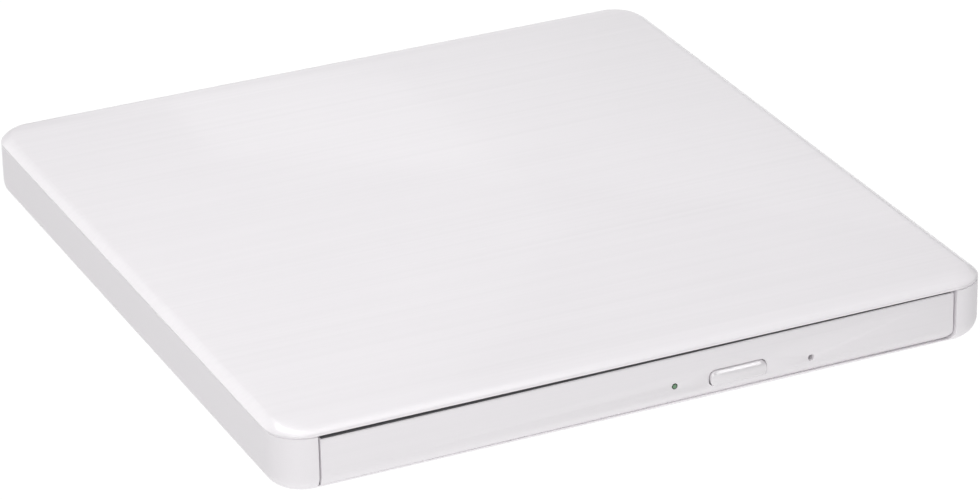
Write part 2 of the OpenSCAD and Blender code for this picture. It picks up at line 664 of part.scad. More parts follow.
module usb_tongue() color([0.16, 0.16, 0.17]) {
  box([usb_x - usb_w / 2 + usb_skin, usb_y1 - usb_l + usb_skin, main_z1 + usb_skin + 0.5], [usb_x + usb_w / 2 - usb_skin, usb_y1 - usb_l + usb_skin + 2, main_z1 + usb_h - usb_skin]);
  box([usb_x - 2.6, usb_y1 - usb_l + usb_skin + 1.9, main_z1 + usb_h / 2 + 0.1], [usb_x + 2.6, usb_y1 - 1.2, main_z1 + usb_h / 2 + 0.8]);
}

module ribbon_cable() color([0.9, 0.9, 0.88]) translate([ribbon_x - ribbon_w / 2, 0, 0]) rotate([90, 0, 90]) linear_extrude(height = ribbon_w) {
  end_z = main_z1 + 0.5;
  bend_y = main_y0 - 2.6;
  // Lower run, turn and upper run
  translate([ribbon_bend, pan_z]) square([bend_y - ribbon_bend, ribbon_t]);
  translate([ribbon_bend, pan_z + ribbon_r]) difference() {
    circle(r = ribbon_r);
    circle(r = ribbon_r - ribbon_t);
    translate([0, -5]) square([5, 10]);
  }
  translate([ribbon_bend, board_z0 - ribbon_t]) square([ribbon_end - ribbon_bend, ribbon_t]);
  // Rise into the socket
  polygon([[bend_y - eps, pan_z], [bend_y + 1.3, pan_z], [main_y0 - 1.2, end_z], [socket_y + 0.5, end_z], [socket_y + 0.5, end_z + ribbon_t], [main_y0 - 1.3, end_z + ribbon_t],
    [bend_y + 1.2, pan_z + ribbon_t], [bend_y - eps, pan_z + ribbon_t]]);
}

// Ejector

module ejector_housing() color([0.3, 0.31, 0.33]) difference() {
  box([ejector_x - 4, housing_y0, pan_z], [ejector_x + 4, housing_y1, plate_z0]);
  rod_y(ejector_x, housing_y0 - 1, housing_y1 - 1, ejector_z, ejector_r + ejector_gap);
}

module ejector_plunger() color([0.85, 0.85, 0.82]) {
  rod_y(ejector_x, ejector_y0 + 0.8, ejector_y0 + plunger_l, ejector_z, ejector_r);
  rod_y(ejector_x, ejector_y0, ejector_y0 + 0.9, ejector_z, ejector_r + 0.3);
}

module ejector_spring() color([0.7, 0.71, 0.73])
  translate([ejector_x, ejector_y0 + plunger_l + spring_wire_r, ejector_z]) rotate([-90, 0, 0])
    coil(ejector_r - 0.4, spring_wire_r, 6, housing_y1 - 1 - ejector_y0 - plunger_l - 2 * spring_wire_r);

// Latch

module latch_post() color([0.7, 0.71, 0.73]) {
  post(latch_x, latch_y, pan_z, post_top, latch_post_r);
  post(latch_x, latch_y, pan_z, pan_z + 0.4, latch_post_r + 0.6);
}

// Drawn as it holds the post, then swung back to where it lets go
module latch_lever() color([0.82, 0.82, 0.8]) translate([latch_pivot_x, latch_pivot_y, latch_z0]) rotate([0, 0, -latch_swing]) difference() {
  union() {
    cylinder(r = latch_pivot_r + 1.3, h = latch_t);
    box([-latch_half, -latch_l + 0.1, 0], [latch_half, 0, latch_t]);
    box([-latch_half, -latch_l + 0.1, 0], [latch_x - latch_pivot_x + 0.2, -latch_l + 2.1, latch_t]);
    // Arm that the emergency pin pushes
    linear_extrude(height = latch_t) polygon([[-latch_half + 0.1, -latch_l + 0.2], [pin_dx + 1.6, -latch_l - 3.6], [pin_dx + 1.6, -latch_l - 6], [pin_dx - 1.6, -latch_l - 6],
      [pin_dx - 1.6, -latch_l - 2.6], [-latch_half + 0.1, -latch_l + 2.4]]);
  }
  translate([0, 0, -1]) cylinder(r = latch_pivot_r + pivot_gap, h = latch_t + 2);
}

module latch_coil() color([0.25, 0.26, 0.28]) difference() {
  box([coil_tip - 13.5, coil_y - 3.2, move_z + 0.1], [coil_tip - 2.6, coil_y + 3.2, plate_z0]);
  rod_x(coil_tip - 12, coil_tip - 2, coil_y, coil_z, 1.3);
}

module coil_plunger() color([0.75, 0.76, 0.78]) rod_x(coil_tip - 10.5, coil_tip, coil_y, coil_z, 0.9);

// Tray

module tray() color([0.16, 0.16, 0.17]) difference() {
  union() {
    difference() {
      box([-tray_x, tray_front, plate_z0], [tray_x, tray_rear, rim_z]);
      post(0, disc_y, plate_z1, rim_z + 1, well_r);
      // Rear corners drop to the plate
      both_sides() box([tray_x - 14, tray_rear - 12, plate_z1], [tray_x + 1, tray_rear + 1, rim_z + 1]);
    }
    both_sides() {
      box([beam_in, tray_front + 2, rail_z0], [beam_out, beam_rear, plate_z0 + eps]);
      box([beam_out - eps, tray_front + 4, rail_mid - tongue_t / 2], [rail_in + tongue_in, beam_rear, rail_mid + tongue_t / 2]);
    }
    box([-beam_in - eps, tray_front, rail_z0], [beam_in + eps, tray_front + tray_wall, plate_z0 + eps]);
    box([-beam_in - eps, tray_rear - tray_wall, rail_z0], [beam_in + eps, tray_rear, plate_z0 + eps]);
    // Bosses for the dampers, the latch and the board
    on_feed() for (p = dampers) post(p[0], p[1], frame_z1 + 0.8, plate_z0 + eps, 2);
    post(latch_pivot_x, latch_pivot_y, latch_z0 - 0.3, plate_z0 + eps, latch_pivot_r);
    post(latch_pivot_x, latch_pivot_y, latch_z0 + latch_t + 0.2, plate_z0 + eps, latch_pivot_r + 1);
    for (p = [[4, tray_front + 14], [39, latch_pivot_y + 10], [39, tray_board_rear - 4], [25, tray_board_rear - 4]]) post(p[0], p[1], board_z1, plate_z0 + eps, 1.6);
  }
  // Opening for the mechanism
  on_feed() translate([0, 0, plate_z0 - 0.5]) {
    cylinder(r = skirt_r + skirt_gap, h = plate_t + 1);
    linear_extrude(height = plate_t + 1) polygon(skirt_outline(skirt_gap));
  }
  on_feed() for (p = dampers) post(p[0], p[1], frame_z1, plate_z0 + 0.4, damper_screw_r);
  // Path of the latch post through the rear wall
  box([lane_x0, tray_rear - tray_wall - 1, rail_z0 - 1], [lane_x1, tray_rear + 1, lane_top]);
  // Ways through the front wall for the button, the lamp and the emergency pin
  box([button_x - button_l / 2 - 1.2, tray_front - 1, switch_z - 1.4], [button_x + button_l / 2 + 1.2, tray_front + tray_wall + 0.5, switch_z + 1.4]);
  box([lamp_x - 1.2, tray_front - 1, lamp_z - 1.4], [lamp_x + 1.2, tray_front + tray_wall + 0.5, lamp_z + lens_window_r + 0.2]);
  rod_y(pinhole_x, tray_front - 1, tray_front + tray_wall + 0.5, pinhole_z, pinhole_r + 0.5);
}

// Outline of the cover plate, grown by a margin
function skirt_outline(g) = [for (p = skirt_pts) [p[0] + (p[0] > 0 ? g : -g), p[1] + (p[1] > 0 ? g : -g)]];

module front_bezel() color([0.88, 0.87, 0.89]) on_bezel() difference() {
  translate([-bezel_w / 2, 0, 0]) rotate([90, 0, 90]) linear_extrude(height = bezel_w) difference() {
    translate([face_y, bezel_z0]) square([bezel_t, bezel_z1 - bezel_z0]);
    // Lower edge follows the case
    difference() {
      translate([face_y - 1, base_z]) square([base_edge_r + 1, base_edge_r]);
      translate([face_y + base_edge_r, base_z + base_edge_r]) circle(r = base_edge_r);
    }
  }
  // Lower right corner
  difference() {
    box([bezel_w / 2 - bezel_corner_r, face_y - 1, bezel_z0 - 1], [bezel_w / 2 + 1, bezel_back + 1, bezel_z0 + bezel_corner_r]);
    rod_y(bezel_w / 2 - bezel_corner_r, face_y - 2, bezel_back + 2, bezel_z0 + bezel_corner_r, bezel_corner_r);
  }
  translate([button_x, bezel_back + 1, button_z]) rotate([90, 0, 0]) linear_extrude(height = bezel_t + 2) pill(button_l + 2 * button_gap, button_h + 2 * button_gap);
  rod_y(lamp_x, face_y - 1, bezel_back + 1, lamp_z, lens_window_r);
  rod_y(pinhole_x, face_y - 1, bezel_back + 1, pinhole_z, pinhole_r);
}

module status_lens() color([0.55, 0.75, 0.58]) on_bezel() {
  rod_y(lamp_x, face_y - 0.05, bezel_back + 0.1, lamp_z, lens_window_r);
  rod_y(lamp_x, bezel_back, tray_front + 2.4, lamp_z - 0.4, lens_window_r + 0.2);
}

module eject_button() color([0.86, 0.86, 0.88]) {
  on_bezel() {
    translate([button_x, bezel_back - button_back, button_z]) rotate([90, 0, 0]) linear_extrude(height = bezel_t - button_back + bezel_recess / 2) pill(button_l, button_h);
    // Crowned face
    translate([button_x, face_y - bezel_recess / 2 + eps, button_z]) rotate([90, 0, 0]) linear_extrude(height = bezel_recess / 2 + eps) pill(button_l - 0.6, button_h - 0.6);
  }
  // Retaining flange and stem to the switch
  box([button_x - button_l / 2 - 0.8, bezel_back + 0.15, switch_z - 1], [button_x + button_l / 2 + 0.8, bezel_back + 0.9, switch_z + 1]);
  box([button_x - 3.6, bezel_back - button_back - 0.1, switch_z - 0.5], [button_x + 3.6, stem_end, switch_z + 0.7]);
}

module tray_board() color([0.1, 0.36, 0.2]) translate([0, 0, board_z0]) linear_extrude(height = board_t) polygon(tray_board_pts);

module eject_switch() color([0.15, 0.15, 0.16]) difference() {
  box([button_x - 2.3, switch_y, switch_z - 0.9], [button_x + 2.3, switch_y + 2.4, board_z0]);
  rod_y(button_x, switch_y - 1, switch_y + 0.8, switch_z, 0.75);
}

module switch_plunger() color([0.9, 0.9, 0.86]) rod_y(button_x, stem_end + 0.05, switch_y + 0.4, switch_z, 0.45);

module status_lamp() color([0.4, 0.85, 0.5]) box([lamp_x - 0.8, tray_front + 2.8, board_z0 - 1.2], [lamp_x + 0.8, tray_front + 4, board_z0]);

module pickup_socket() color([0.93, 0.92, 0.86]) on_feed() box([lens_start - 12, rod_v + 13.6, board_z0 - 1], [lens_start - 1, rod_v + 16.4, board_z0]);

// Mechanism on the tray

module traverse_frame() color([0.66, 0.67, 0.69]) on_feed() difference() {
  union() {
    translate([0, 0, frame_z0]) linear_extrude(height = frame_t) polygon(frame_pts);
    // Rod cradles
    for (v = [-rod_v, rod_v]) for (u = [rod_u0, rod_u1 - 2.4]) box([u, v - 1.9, frame_z1 - eps], [u + 2.4, v + 1.9, rod_z + 0.4]);
    for (p = skirt_posts) post(p[0], p[1], frame_z1 - eps, skirt_z0, 1.2);
  }
  // Window for the sled
  box([window_u0, -window_v1, frame_z0 - 1], [window_u1, window_v1, frame_z1 + eps * 2]);
  box([window_u0, window_v0, frame_z0 - 1], [screw_u1 + 1.9, -window_v1 + 1, frame_z1 + eps * 2]);
  translate([0, 0, frame_z0 - 1]) linear_extrude(height = 8) polygon([[window_u1 - 1, -nose_v], [sled_end - 3.8, -nose_v], [sled_end + 1, -nose_v + 4.4],
    [sled_end + 1, nose_v - 4.4], [sled_end - 3.8, nose_v], [window_u1 - 1, nose_v]]);
  cylinder(r = 6, h = 30);
  box([-5, window_v0 + 0.2, frame_z0 - 1], [window_u0 + 1, -(screw_v - 2.2), frame_z1 + 1]);
  for (v = [-rod_v, rod_v]) rod_x(rod_u0 + 0.6, rod_u1 - 0.6, v, rod_z, v < 0 ? rod_main_r : rod_sub_r);
  for (p = dampers) post(p[0], p[1], frame_z0 - 1, frame_z1 + 1, damper_r - 0.8);
}

module damper_grommets() color([0.2, 0.2, 0.21]) on_feed() for (p = dampers) translate([p[0], p[1], 0]) difference() {
  union() {
    post(0, 0, frame_z1, frame_z1 + 0.8, damper_r);
    post(0, 0, frame_z0, frame_z1 + eps, damper_r - 0.8);
    post(0, 0, frame_z0 - 0.25, frame_z0, damper_r - 0.4);
  }
  post(0, 0, frame_z0 - 1, frame_z1 + 2, damper_screw_r + damper_fit);
}

module damper_screws() color([0.6, 0.6, 0.62]) on_feed() for (p = dampers) {
  post(p[0], p[1], frame_z0 - 0.3, plate_z0 + 0.3, damper_screw_r);
  post(p[0], p[1], move_z - 0.1, frame_z0 - 0.25, 1.5);
}

module mechanism_cover() color([0.74, 0.75, 0.77]) on_feed() difference() {
  translate([0, 0, skirt_z0]) union() {
    cylinder(r = skirt_r, h = sheet_t);
    linear_extrude(height = sheet_t) polygon(skirt_pts);
  }
  translate([0, 0, skirt_z0 - 1]) cylinder(r = rotor_r + 1, h = 3);
  box([0, -7.4, skirt_z0 - 1], [sled_end - 0.4, 7.4, skirt_z1 + 1]);
}

module spindle_base() color([0.5, 0.51, 0.53]) on_feed() difference() {
  translate([0, 0, frame_z1]) cylinder(r = 12.6, h = spindle_base_t);
  translate([0, 0, frame_z1 - 1]) cylinder(r = sleeve_r, h = 3);
  for (p = skirt_posts) post(p[0], p[1], frame_z1 - 1, frame_z1 + 2, 1.6);
}

module bearing_sleeve() color([0.72, 0.6, 0.35]) translate([0, disc_y, 0]) difference() {
  union() {
    post(0, 0, frame_z0, flange_z - 1.4, sleeve_r);
    post(0, 0, spindle_z, spindle_z + 0.5, sleeve_r + 0.6);
  }
  post(0, 0, frame_z0 + 0.5, plate_z1, shaft_r + shaft_gap);
}

module stator() color([0.7, 0.42, 0.2]) translate([0, disc_y, 0]) difference() {
  union() {
    post(0, 0, spindle_z + 0.5, flange_z - 1.6, sleeve_r + 1.6);
    for (i = [0:8]) rotate([0, 0, 40 * i]) {
      box([sleeve_r + 1, -0.9, spindle_z + 0.5], [stator_r - 0.6, 0.9, flange_z - 1.6]);
      box([stator_r - 1.2, -2, spindle_z + 0.7], [stator_r - 0.3, 2, flange_z - 1.8]);
    }
  }
  post(0, 0, spindle_z, plate_z1 + 2, sleeve_r);
}

module spindle_shaft() color([0.75, 0.76, 0.78]) post(0, disc_y, frame_z0 + 0.55, seat_z + 0.6, shaft_r);

module turntable() color([0.2, 0.2, 0.21]) translate([0, disc_y, 0]) difference() {
  union() {
    post(0, 0, flange_z, ring_z, table_r);
    post(0, 0, rotor_z, flange_z + eps, rotor_r);
    post(0, 0, ring_z - eps, seat_z + hub_h - 0.6, hub_r);
    translate([0, 0, seat_z + hub_h - 0.6]) cylinder(r1 = hub_r, r2 = hub_r - 1.4, h = 0.6);
  }
  post(0, 0, rotor_z - 1, flange_z - 0.4, rotor_r - 0.5);
  post(0, 0, rotor_z - 1, seat_z + 0.6, shaft_r);
  for (i = [0:2]) rotate([0, 0, 90 + 120 * i]) rod_x(ball_c - ball_r - ball_travel - 0.2, hub_r + 1, 0, ball_z, ball_r + 0.1);
}

module rotor_magnet() color([0.28, 0.28, 0.3]) translate([0, disc_y, 0]) difference() {
  post(0, 0, rotor_z + 0.1, flange_z - 0.4, rotor_r - 0.5);
  post(0, 0, rotor_z - 1, flange_z, rotor_r - 1.4);
}

module friction_ring() color([0.24, 0.24, 0.25]) translate([0, disc_y, 0]) difference() {
  post(0, 0, ring_z, seat_z, table_r);
  post(0, 0, ring_z - 1, seat_z + 1, table_r - 4);
}

module clamp_ball(i) color([0.8, 0.81, 0.82]) translate([0, disc_y, ball_z]) rotate([0, 0, 90 + 120 * i]) translate([ball_c, 0, 0]) sphere(r = ball_r);
module clamp_ball_1() clamp_ball(0);
module clamp_ball_2() clamp_ball(1);
module clamp_ball_3() clamp_ball(2);

module guide_rod_main() color([0.8, 0.81, 0.82]) on_feed() rod_x(rod_u0 + 0.6, rod_u1 - 0.6, -rod_v, rod_z, rod_main_r);
module guide_rod_sub() color([0.8, 0.81, 0.82]) on_feed() rod_x(rod_u0 + 0.6, rod_u1 - 0.6, rod_v, rod_z, rod_sub_r);

module feed_motor() color([0.62, 0.63, 0.65]) on_feed() difference() {
  rod_x(-4.4, 6.8, -screw_v, screw_z, motor_d / 2);
  rod_x(5, 8, -screw_v, screw_z, journal_r + 0.1);
}

module feed_bracket() color([0.7, 0.71, 0.73]) on_feed() difference() {
  union() {
    box([6.8, -(screw_v + 4.2), frame_z1], [screw_u1 + 1.2, -(screw_v + 2.6), frame_z1 + 0.5]);
    for (u = [6.8, screw_u1 + 0.2]) box([u, -(screw_v + 4.2), frame_z1], [u + 1, -(screw_v - 1.3), screw_z + 1.4]);
  }
  for (u = [6, screw_u1]) rod_x(u, u + 3, -screw_v, screw_z, journal_r + 0.04);
}

module lead_screw() color([0.8, 0.81, 0.82]) on_feed() {
  l = screw_u1 - screw_u0;
  translate([screw_u0, -screw_v, screw_z]) rotate([0, 90, 0]) thread(l);
  rod_x(5.4, screw_u0 + eps, -screw_v, screw_z, journal_r);
  rod_x(screw_u1 - eps, screw_u1 + 1.4, -screw_v, screw_z, journal_r);
}

module pickup_sled() color([0.5, 0.51, 0.53]) on_feed() difference() {
  union() {
    translate([0, 0, sled_z0]) linear_extrude(height = sled_z1 - sled_z0)
      polygon([[sled_u0, -sled_half], [sled_u1 - 4.2, -sled_half], [sled_u1, -sled_half + 4.2], [sled_u1, sled_half - 4.2], [sled_u1 - 4.2, sled_half], [sled_u0, sled_half]]);
    // Lugs on the main rod, fork on the second rod
    for (u = [sled_u0, sled_u0 + 6.4]) box([u, -rod_v - 1.9, sled_z0], [u + 3, -sled_half + eps, sled_z1]);
    box([sled_u0 + 2, sled_half - eps, sled_z0], [sled_u0 + 7, rod_v + 1.9, sled_z1]);
  }
  rod_x(sled_u0 - 1, sled_u1, -rod_v, rod_z, rod_main_r + rod_gap);
  box([sled_u0, rod_v - 1.2, rod_z - rod_sub_r - rod_gap], [sled_u0 + 8, rod_v + 3, rod_z + rod_sub_r + rod_gap]);
  cylinder(r = table_r + 0.2, h = 30);
  // Well for the lens holder and its yoke
  box([lens_start - 5.6, -7, sled_z0 + 0.8], [lens_start + 5.6, 7, sled_z1 + 1]);
  post(lens_start, 0, sled_z0 - 1, sled_z0 + 2, 2.2);
}

module feed_nut() color([0.9, 0.9, 0.86]) on_feed() {
  box([sled_u0 + 3, -rod_v - 2.4, screw_z - 0.9], [sled_u0 + 6.4, -rod_v - 1.7, screw_z + 0.9]);
  box([sled_u0 + 2, -screw_v + screw_r + thread_d + 0.35, screw_z - 0.9], [sled_u0 + 7.4, -rod_v - 1.9, screw_z + 0.9]);
  translate([nut_u, -screw_v + screw_r + 0.05, screw_z - 0.5]) box([-0.3, 0, 0], [0.3, 1.4, 1]);
}

module actuator_yoke() color([0.3, 0.3, 0.32]) on_feed() {
  for (s = [-1, 1]) box([lens_start - 3, s * 5.6 - 0.7, sled_z0 + 0.8], [lens_start + 3, s * 5.6 + 0.7, sled_z1 - 0.1]);
  box([lens_start - 5.4, -6.3, sled_z0 + 0.8], [lens_start - 4.2, 6.3, sled_z1 - 0.3]);
}

module lens_holder() color([0.13, 0.13, 0.14]) on_feed() difference() {
  union() {
    box([lens_start - 3.8, -4.5, sled_z0 + 1.4], [lens_start + 3.8, 4.5, sled_z1 + 0.2]);
    post(lens_start, 0, sled_z1, skirt_z1 - 0.1, 2.6);
  }
  post(lens_start, 0, sled_z0, skirt_z1 + 1, 1.9);
}

module objective_lens() color([0.6, 0.7, 0.85]) on_feed() translate([lens_start, 0, skirt_z1 - 1]) {
  cylinder(r = 1.9, h = 0.9);
  translate([0, 0, 0.89]) intersection() {
    translate([0, 0, -3.4]) sphere(r = 3.7);
    cylinder(r = 1.5, h = 1);
  }
}

module pickup_lead() color([0.75, 0.5, 0.2]) on_feed() translate([lens_start - 11, 0, 0]) rotate([90, 0, 90]) linear_extrude(height = 9)
  polygon([[9.5, move_z + 0.05], [rod_v + 11.6, move_z + 0.05], [rod_v + 13, board_z0 - 1.13], [rod_v + 15.5, board_z0 - 1.13], [rod_v + 15.5, board_z0 - 1],
    [rod_v + 12.9, board_z0 - 1], [rod_v + 11.5, move_z + 0.18], [9.5, move_z + 0.18]]);

top_cover();
bottom_case();
rubber_feet();
case_screws();
chassis_pan();
chassis_lid();
chassis_screws();
guide_rail_left();
guide_rail_right();
main_board();
board_chips();
board_capacitors();
ribbon_socket();
board_screws();
usb_shell();
usb_tongue();
ribbon_cable();
ejector_housing();
ejector_plunger();
ejector_spring();
latch_post();
slide_rail_left();
slide_rail_right();
tray();
front_bezel();
status_lens();
eject_button();
tray_board();
eject_switch();
switch_plunger();
status_lamp();
pickup_socket();
traverse_frame();
damper_grommets();
damper_screws();
mechanism_cover();
spindle_base();
stator();
bearing_sleeve();
spindle_shaft();
turntable();
rotor_magnet();
friction_ring();
clamp_ball_1();
clamp_ball_2();
clamp_ball_3();
guide_rod_main();
guide_rod_sub();
feed_motor();
feed_bracket();
lead_screw();
pickup_sled();
feed_nut();
actuator_yoke();
lens_holder();
objective_lens();
pickup_lead();
latch_lever();
latch_coil();
coil_plunger();
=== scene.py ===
"""Looks of a slim external disc drive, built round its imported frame."""

import json
import logging
import math
from dataclasses import dataclass
from enum import Enum
from typing import Any, Iterable, Sequence

import bmesh
import bpy
from mathutils import Matrix, Vector


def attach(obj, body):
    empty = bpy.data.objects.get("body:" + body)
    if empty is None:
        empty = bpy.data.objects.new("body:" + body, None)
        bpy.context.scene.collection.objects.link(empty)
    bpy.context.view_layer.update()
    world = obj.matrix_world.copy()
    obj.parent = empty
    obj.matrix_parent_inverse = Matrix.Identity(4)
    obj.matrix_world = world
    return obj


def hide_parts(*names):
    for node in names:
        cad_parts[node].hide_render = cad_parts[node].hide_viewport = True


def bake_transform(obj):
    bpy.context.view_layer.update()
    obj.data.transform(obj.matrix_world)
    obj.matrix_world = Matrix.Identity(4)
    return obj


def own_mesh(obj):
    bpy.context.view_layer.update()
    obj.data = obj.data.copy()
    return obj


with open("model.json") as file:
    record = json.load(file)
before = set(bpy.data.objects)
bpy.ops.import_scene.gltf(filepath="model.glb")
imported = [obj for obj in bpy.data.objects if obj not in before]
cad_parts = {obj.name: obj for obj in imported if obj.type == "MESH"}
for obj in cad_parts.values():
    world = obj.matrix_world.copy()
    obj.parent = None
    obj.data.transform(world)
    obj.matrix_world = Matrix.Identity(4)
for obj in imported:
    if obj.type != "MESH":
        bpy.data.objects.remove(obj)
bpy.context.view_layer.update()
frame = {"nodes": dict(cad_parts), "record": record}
LOG = logging.getLogger("disc_drive")
MM = 0.001
Colour = tuple[float, float, float, float]
Point = tuple[float, float, float]
Ring = list[Point]


def tone(red: float, green: float, blue: float) -> Colour:
    """Turns a colour as seen on a screen into the renderer's linear one.

    Args:
        red, green, blue: Screen levels from 0 to 255.

    Returns:
        The linear colour, with full alpha.
    """
    def linear(level: float) -> float:
        """One channel."""
        c = level / 255.0
        return c / 12.92 if c <= 0.04045 else ((c + 0.055) / 1.055) ** 2.4

    return (linear(red), linear(green), linear(blue), 1.0)


def shade(colour: Colour, by: float) -> Colour:
    """A colour made lighter or darker by a factor."""
    return (*(min(1.0, c * by) for c in colour[:3]), 1.0)


class Lay(Enum):
    """How the fine marks of a surface run."""

    GRAIN = "even grain"
    ALONG_X = "streaks along X"
    ALONG_Y = "streaks along Y"
    ALONG_FEED = "streaks along the pickup's feed"
    ROUND = "rings about the spindle"
    SPANGLE = "crystals of a zinc coat"


def join(tree: bpy.types.NodeTree, value: Any, socket: bpy.types.NodeSocket) -> None:
    """Links a socket to an input, or sets the input's own value.

    Args:
        tree: The tree that holds both.
        value: A socket or a plain value.
        socket: The input.
    """
    if isinstance(value, bpy.types.NodeSocket):
        tree.links.new(value, socket)
    else:
        socket.default_value = value


def new_node(
    tree: bpy.types.NodeTree, kind: str, inputs: dict[Any, Any] | None, settings: dict[str, Any]
) -> bpy.types.Node:
    """Adds a node to a tree.

    Args:
        tree: The tree.
        kind: The node's type name.
        inputs: Values or sockets for its inputs, by name or number.
        settings: The node's own settings.

    Returns:
        The node.
    """
    node = tree.nodes.new(kind)
    for key, value in settings.items():
        setattr(node, key, value)
    for key, value in (inputs or {}).items():
        join(tree, value, node.inputs[key])
    return node


class Graph:
    """A material's shader graph, with short ways to add and join nodes."""

    def __init__(self, name: str) -> None:
        """Makes the material and keeps its main shader.

        Args:
            name: The material's name.
        """
        self.material = bpy.data.materials.new(name)
        self.material.use_nodes = True
        self.tree = self.material.node_tree
        self.shader = self.tree.nodes["Principled BSDF"]

    def set(self, **values: Any) -> None:
        """Sets sockets of the main shader, underscores for blanks."""
        for key, value in values.items():
            self.shader.inputs[key.replace("_", " ")].default_value = value

    def add(self, kind: str, inputs: dict[str, Any] | None = None, **settings: Any) -> bpy.types.Node:
        """Adds a node, with values or sockets for its inputs."""
        return new_node(self.tree, kind, inputs, settings)

    def place(
        self, scale: Point = (1, 1, 1), turn: float = 0.0, shift: Point = (0, 0, 0)
    ) -> bpy.types.NodeSocket:
        """The piece's own coordinates, shifted, turned about Z and scaled.

        Args:
            scale: Scale along each axis.
            turn: Turn about Z.
            shift: The point that becomes the origin.

        Returns:
            The coordinates.
        """
        where = self.add("ShaderNodeTexCoord").outputs["Object"]
        moved = self.add(
            "ShaderNodeMapping", {"Vector": where, "Location": tuple(-s for s in shift)}
        ).outputs[0]
        return self.add(
            "ShaderNodeMapping", {"Vector": moved, "Rotation": (0, 0, turn), "Scale": scale}
        ).outputs[0]

    def noise(self, where: bpy.types.NodeSocket, scale: float, detail: float = 2.0) -> bpy.types.NodeSocket:
        """A cloud pattern."""
        node = self.add("ShaderNodeTexNoise", {"Vector": where, "Scale": scale, "Detail": detail})
        return node.outputs["Fac"]

    def rings(self, distortion: float) -> bpy.types.NodeSocket:
        """Fine rings about the spindle.

        Args:
            distortion: How uneven the rings are.

        Returns:
            The pattern.
        """
        node = self.add(
            "ShaderNodeTexWave",
            {"Vector": self.place(shift=DISC_PLACE), "Scale": 900.0, "Distortion": distortion},
            wave_type="RINGS", rings_direction="Z"
        )
        return node.outputs["Fac"]

    def ramp(
        self, value: bpy.types.NodeSocket, stops: Sequence[tuple[float, Colour]]
    ) -> bpy.types.NodeSocket:
        """Colours along a value.

        Args:
            value: What the colours follow.
            stops: Places along it with their colours.

        Returns:
            The colour.
        """
        node = self.add("ShaderNodeValToRGB", {"Fac": value})
        node.color_ramp.elements[0].position, node.color_ramp.elements[0].color = stops[0]
        node.color_ramp.elements[1].position, node.color_ramp.elements[1].color = stops[-1]
        for position, colour in stops[1:-1]:
            node.color_ramp.elements.new(position).color = colour
        return node.outputs["Color"]

    def spread(self, value: bpy.types.NodeSocket, low: float, high: float) -> bpy.types.NodeSocket:
        """Maps a pattern from 0..1 to low..high."""
        return self.add("ShaderNodeMapRange", {"Value": value, "To Min": low, "To Max": high}).outputs[0]

    def mix(
        self, how: str, a: bpy.types.NodeSocket, b: bpy.types.NodeSocket | float
    ) -> bpy.types.NodeSocket:
        """Joins two values with a sum or other operation.

        Args:
            how: The operation.
            a: First value.
            b: Second value.

        Returns:
            The result.
        """
        node = self.add("ShaderNodeMath", operation=how)
        for socket, value in zip(node.inputs, (a, b)):
            join(self.tree, value, socket)
        return node.outputs[0]

    def colour(self, value: bpy.types.NodeSocket) -> None:
        """Feeds the base colour."""
        self.tree.links.new(value, self.shader.inputs["Base Color"])

    def rough(self, value: bpy.types.NodeSocket) -> None:
        """Feeds the roughness."""
        self.tree.links.new(value, self.shader.inputs["Roughness"])

    def relief(self, height: bpy.types.NodeSocket, depth: float, strength: float = 1.0) -> None:
        """Feeds the bump, with a depth in millimetres."""
        bump = self.add("ShaderNodeBump", {"Height": height, "Distance": depth * MM, "Strength": strength})
        self.tree.links.new(bump.outputs[0], self.shader.inputs["Normal"])


# The turn of marks that lie along the feed, the feed's direction, and the spindle's place
FEED_TURN = math.radians(45)
FEED = math.radians(225)
DISC_Y = -7.0
DISC_PLACE: Point = (0.0, DISC_Y * MM, 0.0)


@dataclass(frozen=True)
class Plastic:
    """A moulded plastic or rubber, with grain or fine streaks."""

    name: str
    colour: Colour
    roughness: float
    lay: Lay = Lay.GRAIN
    contrast: float = 0.02
    depth: float = 0.004
    pitch: float = 0.35
    gloss: float = 0.5
    coat: float = 0.0

    def build(self) -> bpy.types.Material:
        """Makes the material.

        Returns:
            The material.
        """
        g = Graph(self.name)
        g.set(Specular_IOR_Level=self.gloss, Coat_Weight=self.coat, Coat_Roughness=0.08)
        along, across = 0.01 / MM, 1.0 / (self.pitch * MM)
        stretch = {Lay.ALONG_X: (along, across, across), Lay.ALONG_Y: (across, along, across)}
        scale = stretch.get(self.lay, (across, across, across))
        fine = g.noise(g.place(scale), 1.0, 3.0)
        cloud = g.noise(g.place((30, 30, 30)), 1.0, 2.0)
        both = g.mix("ADD", g.mix("MULTIPLY", fine, 0.7), g.mix("MULTIPLY", cloud, 0.3))
        dark, pale = shade(self.colour, 1 - self.contrast), shade(self.colour, 1 + self.contrast)
        g.colour(g.ramp(both, [(0.3, dark), (0.7, pale)]))
        g.rough(g.spread(both, self.roughness - 0.06, self.roughness + 0.06))
        g.relief(fine, self.depth)
        return g.material


